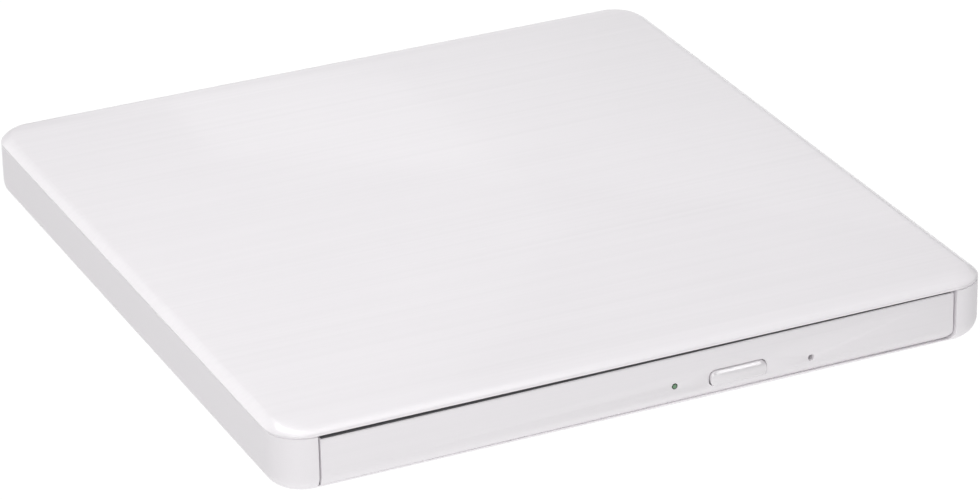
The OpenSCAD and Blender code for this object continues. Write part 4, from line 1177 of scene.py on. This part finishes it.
    def gap_shade(self, maker: Maker) -> None:
        """Builds a grey strip behind the bezel's upper lip: painted shade that darkens the gap under the
        cover.

        Args:
            maker: Makes and dresses the pieces.
        """
        end = self.width / 2 - self.rebate_end - self.gap_shade_end
        low = (-end, self.face + self.lip + self.gap_shade_front, self.high - self.rebate_drop)
        high = (end, self.face + self.depth - self.gap_shade_back, self.high - self.gap_shade_drop)
        strip = bmesh.new()
        add_box(strip, low, high, self.gap_shade_edge)
        strip.transform(self.place())
        maker.piece("dust_seal", mesh_of(strip, "dust_seal"), GAP_SHADE_FINISH, "front_bezel")

    def button(self, maker: Maker) -> None:
        """Builds the crowned button with its flange and stem.

        Args:
            maker: Makes and dresses the pieces.
        """
        bm = bmesh.new()
        length, height = self.button_size
        x0, z0 = self.button_at
        back, rim = self.face + self.depth, self.face + self.shoulder
        levels = [(0.0, back - 0.5), (0.0, rim + 0.02)]
        for t in sweep(0, 90, 12)[1:]:
            out = math.sin(t)
            levels.append((out, rim - (self.crown + self.shoulder) * out))
        dx, dz = x0 + self.sag[0], z0 + self.sag[1]
        rings = []
        for d, y in levels:
            over, under, end = d * self.slope, d ** 4 * self.under_draw, d ** 3 * self.end_draw
            middle = dz + (under - over) / 2
            bar = pill(length - 2 * end, height - over - under)
            rings.append([(dx + x, y, middle + z) for x, z in bar])
        add_rings(bm, rings)
        bmesh.ops.recalc_face_normals(bm, faces=bm.faces)
        bm.transform(self.place())
        half, tall, (near, far) = length / 2 + self.flange_past, self.flange_half, self.flange_y
        low = (x0 - half, back + near, self.switch_z - tall)
        add_box(bm, low, (x0 + half, back + far, self.switch_z + tall), self.stem_edge)
        half, (under, over) = self.stem_half, self.stem_z
        low = (x0 - half, back - self.stem_lap, self.switch_z + under)
        add_box(bm, low, (x0 + half, self.stem_end, self.switch_z + over), self.stem_edge)
        maker.piece("button_cap", mesh_of(bm, "button_cap", 50), BUTTON_FINISH, "eject_button", True)

    def window(self, maker: Maker) -> None:
        """Builds the domed status window and its light pipe.

        Args:
            maker: Makes and dresses the pieces.
        """
        bm = bmesh.new()
        x, z = self.window_at
        r, back = self.window_r, self.face + self.depth
        along = Matrix.Translation((x, 0, z)) @ Matrix.Rotation(math.radians(90), 4, "X")
        start = -self.face - self.dome_back
        dome = [(r * math.cos(t), start + self.dome_rise * math.sin(t)) for t in sweep(0, 85, 6)]
        add_lathe(bm, [(r, -back - self.window_lap)] + dome, along)
        pipe = Matrix.Translation((0, 0, -self.pipe_drop)) @ along
        pipe_r, (near, far) = r + self.pipe_past, self.pipe_y
        add_lathe(bm, [(pipe_r, -back - far), (pipe_r, -back - near)], pipe)
        bm.transform(self.place())
        # The green is the window's own tint; its darker rim is painted shade where the dome sits in its
        # hole.
        tint_and_rim_shade = Clear(
            "green_window", tone(118, 162, 124), tone(26, 50, 32), (x, self.face, z), 0.61, 0.12, 0.15
        )
        maker.piece("status_window", mesh_of(bm, "status_window"), tint_and_rim_shade, "status_lens", True)

    def build(self, maker: Maker) -> None:
        """Builds and dresses the tray's front.

        Args:
            maker: Makes and dresses the pieces.
        """
        self.bezel(maker)
        self.gap_shade(maker)
        self.button(maker)
        self.window(maker)
        maker.dress(LAMP_FINISH, "status_lamp")
        maker.dress(CHIP_FINISH, "eject_switch")
        maker.dress(IVORY_FINISH, "switch_plunger")


@dataclass
class Chassis:
    """The sheet metal box, the guides and the slide rails."""

    def build(self, maker: Maker) -> None:
        """Dresses the chassis.

        Args:
            maker: Makes and dresses the pieces.
        """
        maker.dress(SHEET_FINISH, "chassis_pan", "chassis_lid")
        maker.dress(SCREW_FINISH, "chassis_screws")
        maker.dress(GUIDE_FINISH, "guide_rail_left", "guide_rail_right")
        maker.dress(RAIL_FINISH, "slide_rail_left", "slide_rail_right")


@dataclass
class MainBoard:
    """The board at the back with its chips, sockets and ribbon cable."""

    top: float = 4.9
    chips: tuple[tuple[float, float, float, float], ...] = (
        (-26, 59.5, -17, 68.5), (-9, 62.3, -3, 66.3), (39, 63.3, 44, 68.3)
    )
    lead_pitch: float = 0.5
    lead_size: Point = (0.7, 0.22, 0.14)
    lead_margin: float = 0.6
    lead_place: Point = (0.3, 0.5, 0.12)
    ribbon_x: tuple[float, float] = (23.8, 40.8)
    ribbon_t: float = 0.15
    pan: float = 3.3
    bend_y: float = -20.0
    rise_y: float = 54.7
    rise: tuple[tuple[float, float], ...] = ((56.0, 3.425), (56.6, 4.475), (57.2, 5.45), (59.7, 5.45))
    upper_end: float = 46.0
    upper_z: float = 5.95
    upper_kept: float = 3.0 / 66.0

    def leads(self, maker: Maker) -> None:
        """Rows of straight box leads along the chips' sides, by a rule.

        Args:
            maker: Makes and dresses the pieces.
        """
        joined = bmesh.new()
        for k, (x0, y0, x1, y1) in enumerate(self.chips):
            for side, (x, sign) in enumerate(((x0, -1), (x1, 1))):
                rule = Rule(f"lead_row_{k}_{side}")
                pitch = rule.size("Pitch", self.lead_pitch * MM)
                count = rule.size("Count", int((y1 - y0 - self.lead_margin) / self.lead_pitch))
                reach = rule.size("Reach", tuple(c * MM for c in self.lead_size))
                out, along, up = self.lead_place
                first = (x + sign * out, y0 + along, self.top + up)
                start = rule.size("Start", tuple(c * MM for c in first))
                step = rule.add("ShaderNodeCombineXYZ", {"Y": pitch}).outputs[0]
                row = rule.add(
                    "GeometryNodeMeshLine", {"Count": count, "Start Location": start, "Offset": step}
                ).outputs[0]
                lead = rule.add("GeometryNodeMeshCube", {"Size": reach}).outputs[0]
                rows = rule.add(
                    "GeometryNodeInstanceOnPoints", {"Points": row, "Instance": lead}
                ).outputs[0]
                spare = rule.mesh(rows, maker.material(SOCKET_FINISH))
                joined.from_mesh(spare)
                bpy.data.meshes.remove(spare)
        made = bpy.data.meshes.new("chip_leads")
        joined.to_mesh(made)
        joined.free()
        maker.piece("chip_leads", made, SOCKET_FINISH, "board_chips")

    def strip(self, path: Sequence[tuple[float, float]]) -> bmesh.types.BMesh:
        """A flat strip of ribbon along a path in Y and Z.

        Args:
            path: Points in Y and Z.

        Returns:
            The strip.
        """
        bm = bmesh.new()
        x0, x1 = self.ribbon_x
        t = self.ribbon_t
        rings = []
        for i, (y, z) in enumerate(path):
            a, b = path[max(0, i - 1)], path[min(len(path) - 1, i + 1)]
            along = Vector((b[0] - a[0], b[1] - a[1])).normalized()
            ny, nz = -along.y * t / 2, along.x * t / 2
            rings.append(
                [(x0, y - ny, z - nz), (x1, y - ny, z - nz), (x1, y + ny, z + nz), (x0, y + ny, z + nz)]
            )
        add_rings(bm, rings)
        bmesh.ops.recalc_face_normals(bm, faces=bm.faces)
        return bm

    def ribbon(self, maker: Maker) -> None:
        """The ribbon in three runs, so that its turn rolls along as the tray moves.

        Args:
            maker: Makes and dresses the pieces.
        """
        half = self.ribbon_t / 2
        low, high = self.pan + half, self.upper_z + half
        lower = [(self.bend_y + (self.rise_y - self.bend_y) * i / 24, low) for i in range(25)]
        lower += self.rise
        run = maker.piece(
            "ribbon_lower", mesh_of(self.strip(lower), "ribbon_lower"), RIBBON_FINISH, "ribbon_cable", True,
            rides=False
        )
        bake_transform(run)
        r = (high - low) / 2
        middle = (low + high) / 2
        turn = [(self.bend_y - r * math.sin(t), middle - r * math.cos(t)) for t in sweep(0, 180, 16)]
        maker.piece(
            "ribbon_turn", mesh_of(self.strip(turn), "ribbon_turn"), RIBBON_FINISH, "ribbon_cable",
            body="rail_right"
        )
        upper = [(self.bend_y + (self.upper_end - self.bend_y) * i / 16, high) for i in range(17)]
        run = maker.piece(
            "ribbon_upper", mesh_of(self.strip(upper), "ribbon_upper"), RIBBON_FINISH, "ribbon_cable",
            body="tray"
        )
        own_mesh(run)

    def build(self, maker: Maker) -> None:
        """Builds and dresses the board.

        Args:
            maker: Makes and dresses the pieces.
        """
        maker.dress(BOARD_FINISH, "main_board", "tray_board")
        maker.dress(CHIP_FINISH, "board_chips", "usb_tongue")
        maker.dress(CAPACITOR_FINISH, "board_capacitors")
        maker.dress(IVORY_FINISH, "ribbon_socket", "pickup_socket")
        maker.dress(SCREW_FINISH, "board_screws")
        maker.dress(SOCKET_FINISH, "usb_shell")
        self.leads(maker)
        self.ribbon(maker)


@dataclass
class TrayDeck:
    """The tray with its well, and the plate that covers the mechanism."""

    plate: float = 7.9
    disc_y: float = DISC_Y
    step_r: float = 40.6
    step_start: float = 257.0
    step_sweep: float = 286.0
    step_size: tuple[float, float] = (0.9, 0.5)
    step_up: float = 0.2
    feed: float = FEED
    screws: tuple[tuple[float, float], ...] = ((-8, 11), (-8, -11), (58, 14.7), (56.2, -15.9))
    head: tuple[tuple[float, float], ...] = ((1.15, -0.1), (1.15, 0.08), (1.0, 0.2), (0.6, 0.26))
    slot_low: Point = (-0.75, -0.13, 0.08)
    slot_high: Point = (0.75, 0.13, 0.6)
    sheet_low: Point = (-55.0, -69.0, 3.5)
    sheet_high: Point = (22.6, 16.6, 3.62)
    sheet_seat: float = 4.0
    sheet_fold: float = 0.3
    sheet_edge: float = 0.02

    def under_sheet(self, maker: Maker) -> None:
        """Builds the thin sheet that closes the tray's underside, its front edge folded up.

        Args:
            maker: Makes and dresses the pieces.
        """
        bm = bmesh.new()
        add_box(bm, self.sheet_low, self.sheet_high, self.sheet_edge)
        back = self.sheet_low[1] + self.sheet_fold
        add_box(bm, self.sheet_low, (self.sheet_high[0], back, self.sheet_seat))
        maker.piece("under_sheet", mesh_of(bm, "under_sheet"), SOFT_FINISH, "tray")

    def step(self, maker: Maker) -> None:
        """The low ridge that centres a small disc, by a rule.

        Args:
            maker: Makes and dresses the pieces.
        """
        rule = Rule("small_disc_step")
        radius = rule.size("Radius", self.step_r * MM)
        start = rule.size("Start", math.radians(self.step_start))
        sweep = rule.size("Sweep", math.radians(self.step_sweep))
        tall = rule.size("Height", self.step_size[1] * MM)
        wide = rule.size("Width", self.step_size[0] * MM)
        place = rule.size("Place", (0.0, self.disc_y * MM, (self.plate + self.step_up) * MM))
        arc = rule.add(
            "GeometryNodeCurveArc",
            {"Resolution": 120, "Radius": radius, "Start Angle": start, "Sweep Angle": sweep}
        ).outputs[0]
        profile = rule.add(
            "GeometryNodeCurvePrimitiveQuadrilateral", {"Width": wide, "Height": tall}
        ).outputs[0]
        ridge = rule.add(
            "GeometryNodeCurveToMesh", {"Curve": arc, "Profile Curve": profile, "Fill Caps": True}
        ).outputs[0]
        moved = rule.add("GeometryNodeTransform", {"Geometry": ridge, "Translation": place}).outputs[0]
        maker.piece("small_disc_step", rule.mesh(moved, maker.material(TRAY_FINISH)), TRAY_FINISH, "tray")

    def cover_screws(self, maker: Maker) -> None:
        """Cross-head screws on the cover plate, set out by a rule.

        Args:
            maker: Makes and dresses the pieces.
        """
        head = bmesh.new()
        add_lathe(head, self.head, Matrix.Identity(4), 24)
        slots = []
        for turn in (0, 90):
            tool = bmesh.new()
            add_box(tool, self.slot_low, self.slot_high)
            tool.transform(Matrix.Rotation(math.radians(turn), 4, "Z"))
            slots.append(("DIFFERENCE", tool))
        model = maker.object("screw_model", mesh_of(cut(head, slots), "screw_model", 30))
        rule = Rule("cover_screw_set")
        count = rule.size("Count", len(self.screws))
        points = rule.add("GeometryNodePoints", {"Count": count})
        index = rule.add("GeometryNodeInputIndex").outputs[0]
        place: bpy.types.NodeSocket | None = None
        for k, (u, v) in enumerate(self.screws):
            x = u * math.cos(self.feed) - v * math.sin(self.feed)
            y = self.disc_y + u * math.sin(self.feed) + v * math.cos(self.feed)
            spot = rule.size(f"Place {k + 1}", (x * MM, y * MM, self.plate * MM))
            if place is None:
                place = spot
                continue
            here = rule.add(
                "FunctionNodeCompare", {2: index, 3: k}, data_type="INT", operation="EQUAL"
            ).outputs[0]
            place = rule.add(
                "GeometryNodeSwitch", {"Switch": here, "False": place, "True": spot}, input_type="VECTOR"
            ).outputs[0]
        rule.tree.links.new(place, points.inputs["Position"])
        info = rule.add("GeometryNodeObjectInfo", {"Object": model}).outputs["Geometry"]
        heads = rule.add(
            "GeometryNodeInstanceOnPoints", {"Points": points.outputs[0], "Instance": info}
        ).outputs[0]
        maker.piece(
            "cover_screw_set", rule.mesh(heads, maker.material(SCREW_FINISH)), SCREW_FINISH, "damper_screws"
        )
        bpy.data.objects.remove(model)

    def build(self, maker: Maker) -> None:
        """Builds and dresses the deck.

        Args:
            maker: Makes and dresses the pieces.
        """
        maker.dress(TRAY_FINISH, "tray")
        maker.dress(SHEET_FINISH, "mechanism_cover", "traverse_frame")
        maker.dress(SOFT_FINISH, "damper_grommets")
        maker.dress(SCREW_FINISH, "damper_screws")
        self.under_sheet(maker)
        self.step(maker)
        self.cover_screws(maker)


@dataclass
class Spindle:
    """The motor, the turntable and its gripping balls."""

    def build(self, maker: Maker) -> None:
        """Dresses the spindle.

        Args:
            maker: Makes and dresses the pieces.
        """
        maker.dress(MOTOR_FINISH, "spindle_base")
        maker.dress(WIRE_FINISH, "stator")
        maker.dress(BRONZE_FINISH, "bearing_sleeve")
        maker.dress(GROUND_FINISH, "spindle_shaft")
        maker.dress(HUB_FINISH, "turntable")
        maker.dress(MAGNET_FINISH, "rotor_magnet")
        maker.dress(SOFT_FINISH, "friction_ring")
        maker.dress(BALL_FINISH, "clamp_ball_1", "clamp_ball_2", "clamp_ball_3")


@dataclass
class PickupFeed:
    """The pickup with its rods, lead screw and motor."""

    disc_y: float = DISC_Y
    feed: float = FEED
    screw_v: float = 20.2
    screw_z: float = 5.6
    screw_u: tuple[float, float] = (8.2, 48.4)
    radius: float = 1.0
    thread: float = 0.25
    pitch: float = 3.0
    journal: float = 0.6
    tip: float = 0.5
    tip_length: float = 0.1
    journal_start: float = 5.4
    journal_past: float = 1.4
    lead_fixed: Point = (17.5, 26.6, 4.5)
    lead_moving: Point = (17.5, 11.0, 4.0)

    def place(self) -> Matrix:
        """The pickup's frame, with u along the feed."""
        return Matrix.Translation((0, self.disc_y, 0)) @ Matrix.Rotation(self.feed, 4, "Z")

    def screw(self, maker: Maker) -> None:
        """Builds the lead screw with a smooth thread.

        Args:
            maker: Makes and dresses the pieces.
        """
        bm = bmesh.new()
        u0, u1 = self.screw_u
        per_turn, sides = 32, 20
        count = round((u1 - u0) / self.pitch * per_turn)
        rings: list[Ring] = []
        for i in range(count + 1):
            s = (u1 - u0) * i / count
            t = math.radians(90) - 2 * math.pi * s / self.pitch
            ring = []
            for j in range(sides):
                a = 2 * math.pi * j / sides
                x = self.thread * math.cos(t) + self.radius * math.cos(a)
                y = self.thread * math.sin(t) + self.radius * math.sin(a)
                ring.append((u0 + s, -self.screw_v + y, self.screw_z - x))
            rings.append(ring)
        add_rings(bm, rings)
        turn = Matrix.Rotation(math.radians(90), 4, "Y")
        axis = Matrix.Translation((0, -self.screw_v, self.screw_z)) @ turn
        r, lap = self.journal, 0.01
        start, end = self.journal_start, u1 + self.journal_past
        add_lathe(bm, [(self.tip, start), (r, start + self.tip_length), (r, u0 + lap)], axis, 24)
        add_lathe(bm, [(r, u1 - lap), (r, end - self.tip_length), (self.tip, end)], axis, 24)
        bm.transform(self.place())
        bmesh.ops.recalc_face_normals(bm, faces=bm.faces)
        maker.piece("feed_screw", mesh_of(bm, "feed_screw"), GROUND_FINISH, "lead_screw", True)

    def lead(self, maker: Maker) -> None:
        """Makes the pickup's lead between the tray and the pickup from its solid in the frame.

        Args:
            maker: Makes and dresses the pieces.
        """
        bm = bmesh.new()
        bm.from_mesh(frame["nodes"]["pickup_lead"].data)
        bmesh.ops.remove_doubles(bm, verts=bm.verts, dist=1e-7)
        bmesh.ops.scale(bm, vec=(1 / MM,) * 3, verts=bm.verts)
        made = mesh_of(bm, "lens_lead")
        run = maker.piece("lens_lead", made, LEAD_FINISH, "pickup_lead", True, rides=False)
        fixed, moving = (self.place() @ Vector(end) * MM for end in (self.lead_fixed, self.lead_moving))
        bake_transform(run)

    def build(self, maker: Maker) -> None:
        """Builds and dresses the pickup.

        Args:
            maker: Makes and dresses the pieces.
        """
        self.screw(maker)
        maker.dress(GROUND_FINISH, "guide_rod_main", "guide_rod_sub")
        maker.dress(MOTOR_FINISH, "feed_motor", "actuator_yoke")
        maker.dress(RAIL_FINISH, "feed_bracket")
        maker.dress(CAST_FINISH, "pickup_sled")
        maker.dress(IVORY_FINISH, "feed_nut")
        maker.dress(HUB_FINISH, "lens_holder")
        maker.dress(OBJECTIVE_FINISH, "objective_lens")
        self.lead(maker)


@dataclass
class Catches:
    """The latch that holds the tray and the plunger that pushes it out."""

    x: float = -43.0
    z: float = 5.6
    coil_r: float = 1.1
    wire: float = 0.15
    start: float = 61.85
    end: float = 68.15
    turns: float = 6.0

    def spring(self, maker: Maker) -> None:
        """The ejector's spring, wound by a rule.

        Args:
            maker: Makes and dresses the pieces.
        """
        rule = Rule("ejector_coil")
        turns = rule.size("Turns", self.turns)
        radius = rule.size("Coil radius", self.coil_r * MM)
        length = rule.size("Length", (self.end - self.start) * MM)
        wire = rule.size("Wire radius", self.wire * MM)
        place = rule.size("Place", (self.x * MM, self.start * MM, self.z * MM))
        turn = rule.size("Turn", (math.radians(-90), 0.0, 0.0))
        line = rule.add(
            "GeometryNodeCurveSpiral",
            {
                "Resolution": 32, "Rotations": turns, "Start Radius": radius, "End Radius": radius,
                "Height": length
            }
        ).outputs[0]
        profile = rule.add(
            "GeometryNodeCurvePrimitiveCircle", {"Resolution": 10, "Radius": wire}
        ).outputs[0]
        coil = rule.add(
            "GeometryNodeCurveToMesh", {"Curve": line, "Profile Curve": profile, "Fill Caps": True}
        ).outputs[0]
        moved = rule.add(
            "GeometryNodeTransform", {"Geometry": coil, "Translation": place, "Rotation": turn}
        ).outputs[0]
        made = rule.mesh(moved, maker.material(RAIL_FINISH))
        made.polygons.foreach_set("use_smooth", [True] * len(made.polygons))
        run = maker.piece("ejector_coil", made, RAIL_FINISH, "ejector_spring", True, rides=False)
        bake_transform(run)

    def build(self, maker: Maker) -> None:
        """Builds and dresses the catches.

        Args:
            maker: Makes and dresses the pieces.
        """
        self.spring(maker)
        maker.dress(GUIDE_FINISH, "ejector_housing")
        maker.dress(IVORY_FINISH, "ejector_plunger", "latch_lever")
        maker.dress(RAIL_FINISH, "latch_post")
        maker.dress(MOTOR_FINISH, "latch_coil")
        maker.dress(GROUND_FINISH, "coil_plunger")


@dataclass
class Studio:
    """Camera, soft light and a plain pale floor."""

    azimuth: float = -24.455
    elevation: float = 25.353
    tilt: float = -1.160
    distance: float = 847.771
    aim: Point = (-0.413, -8.495, 7.0)
    focal_px: float = 4604.96
    image: tuple[int, int] = (980, 500)
    sensor: float = 36.0
    sky: float = 0.005
    floor_glow: float = 1.0
    floor_half: float = 6000.0
    floor_drop: float = 0.02
    lights: tuple[tuple[str, Point, float, float], ...] = (
        ("overhead", (0.0, 0.0, 1.2), 1.0, 7.1),
        ("overhead_back", (-0.2, 0.5, 1.2), 0.5, 5.5),
        ("key", (-0.455, -0.585, 0.52), 0.52, 3.04),
        ("front", (0.0, -1.3, 0.3), 0.6, 1.4),
        ("glint", (0.54, -0.84, 0.843), 0.15, 0.5),
        ("back", (0.1, 1.1, 0.8), 0.8, 0.6),
        ("back_left", (-0.6, 1.0, 0.5), 0.6, 1.4),
        ("back_right", (0.5, 1.03, 0.31), 0.5, 0.45),
        ("right", (1.1, 0.3, 0.5), 0.5, 0.5),
    )

    def camera(self) -> None:
        """Sets the camera where the photograph was taken from."""
        a, e, r = (math.radians(v) for v in (self.azimuth, self.elevation, self.tilt))
        back = Vector((math.sin(a) * math.cos(e), -math.cos(a) * math.cos(e), math.sin(e)))
        right = Vector((math.cos(a), math.sin(a), 0))
        up = back.cross(right)
        right, up = right * math.cos(r) + up * math.sin(r), up * math.cos(r) - right * math.sin(r)
        data = bpy.data.cameras.new("camera")
        data.sensor_fit, data.sensor_width = "HORIZONTAL", self.sensor
        data.lens = self.focal_px * self.sensor / self.image[0]
        data.clip_start, data.clip_end = 0.01, 20.0
        thing = bpy.data.objects.new("camera", data)
        turn = Matrix((right, up, back)).transposed().to_4x4()
        thing.matrix_world = Matrix.Translation((Vector(self.aim) + back * self.distance) * MM) @ turn
        bpy.context.scene.collection.objects.link(thing)
        bpy.context.scene.camera = thing

    def light(self) -> None:
        """Sets an even sky and large soft lamps."""
        scene = bpy.context.scene
        world = bpy.data.worlds.new("studio")
        world.use_nodes = True
        scene.world = world
        sky = world.node_tree.nodes["Background"]
        sky.inputs["Color"].default_value = (1.0, 0.99, 1.0, 1.0)
        sky.inputs["Strength"].default_value = self.sky
        for name, place, size, power in self.lights:
            data = bpy.data.lights.new(name, "AREA")
            data.size, data.energy = size, power
            thing = bpy.data.objects.new(name, data)
            thing.location = place
            thing.rotation_euler = (-Vector(place)).to_track_quat("-Z", "Y").to_euler()
            scene.collection.objects.link(thing)
        scene.view_settings.view_transform = "Standard"

    def floor(self, maker: Maker) -> None:
        """Lays the floor.

        Args:
            maker: Makes and dresses the pieces.
        """
        bm = bmesh.new()
        low = Matrix.Translation((0, 0, -self.floor_drop))
        bmesh.ops.create_grid(bm, x_segments=4, y_segments=4, size=self.floor_half, matrix=low)
        g = Graph("pale_floor")
        g.set(
            Base_Color=(0.03, 0.03, 0.03, 1.0), Roughness=0.9, Specular_IOR_Level=0.1,
            Emission_Color=(1.0, 1.0, 1.0, 1.0), Emission_Strength=self.floor_glow
        )
        made = mesh_of(bm, "floor")
        made.materials.append(g.material)
        maker.object("floor", made)

    def build(self, maker: Maker) -> None:
        """Sets the whole studio.

        Args:
            maker: Makes and dresses the pieces.
        """
        self.camera()
        self.light()
        self.floor(maker)


def main() -> None:
    """Builds the drive's sub-assemblies in order."""
    logging.basicConfig(level=logging.INFO, format="%(name)s: %(message)s")
    maker = Maker()
    drive = (Shell(), TrayFront(), Chassis(), MainBoard(), TrayDeck(), Spindle(), PickupFeed(), Catches())
    for part in (Studio(), *drive):
        part.build(maker)
        LOG.info("finished %s", type(part).__name__)


if __name__ == "__main__":
    main()
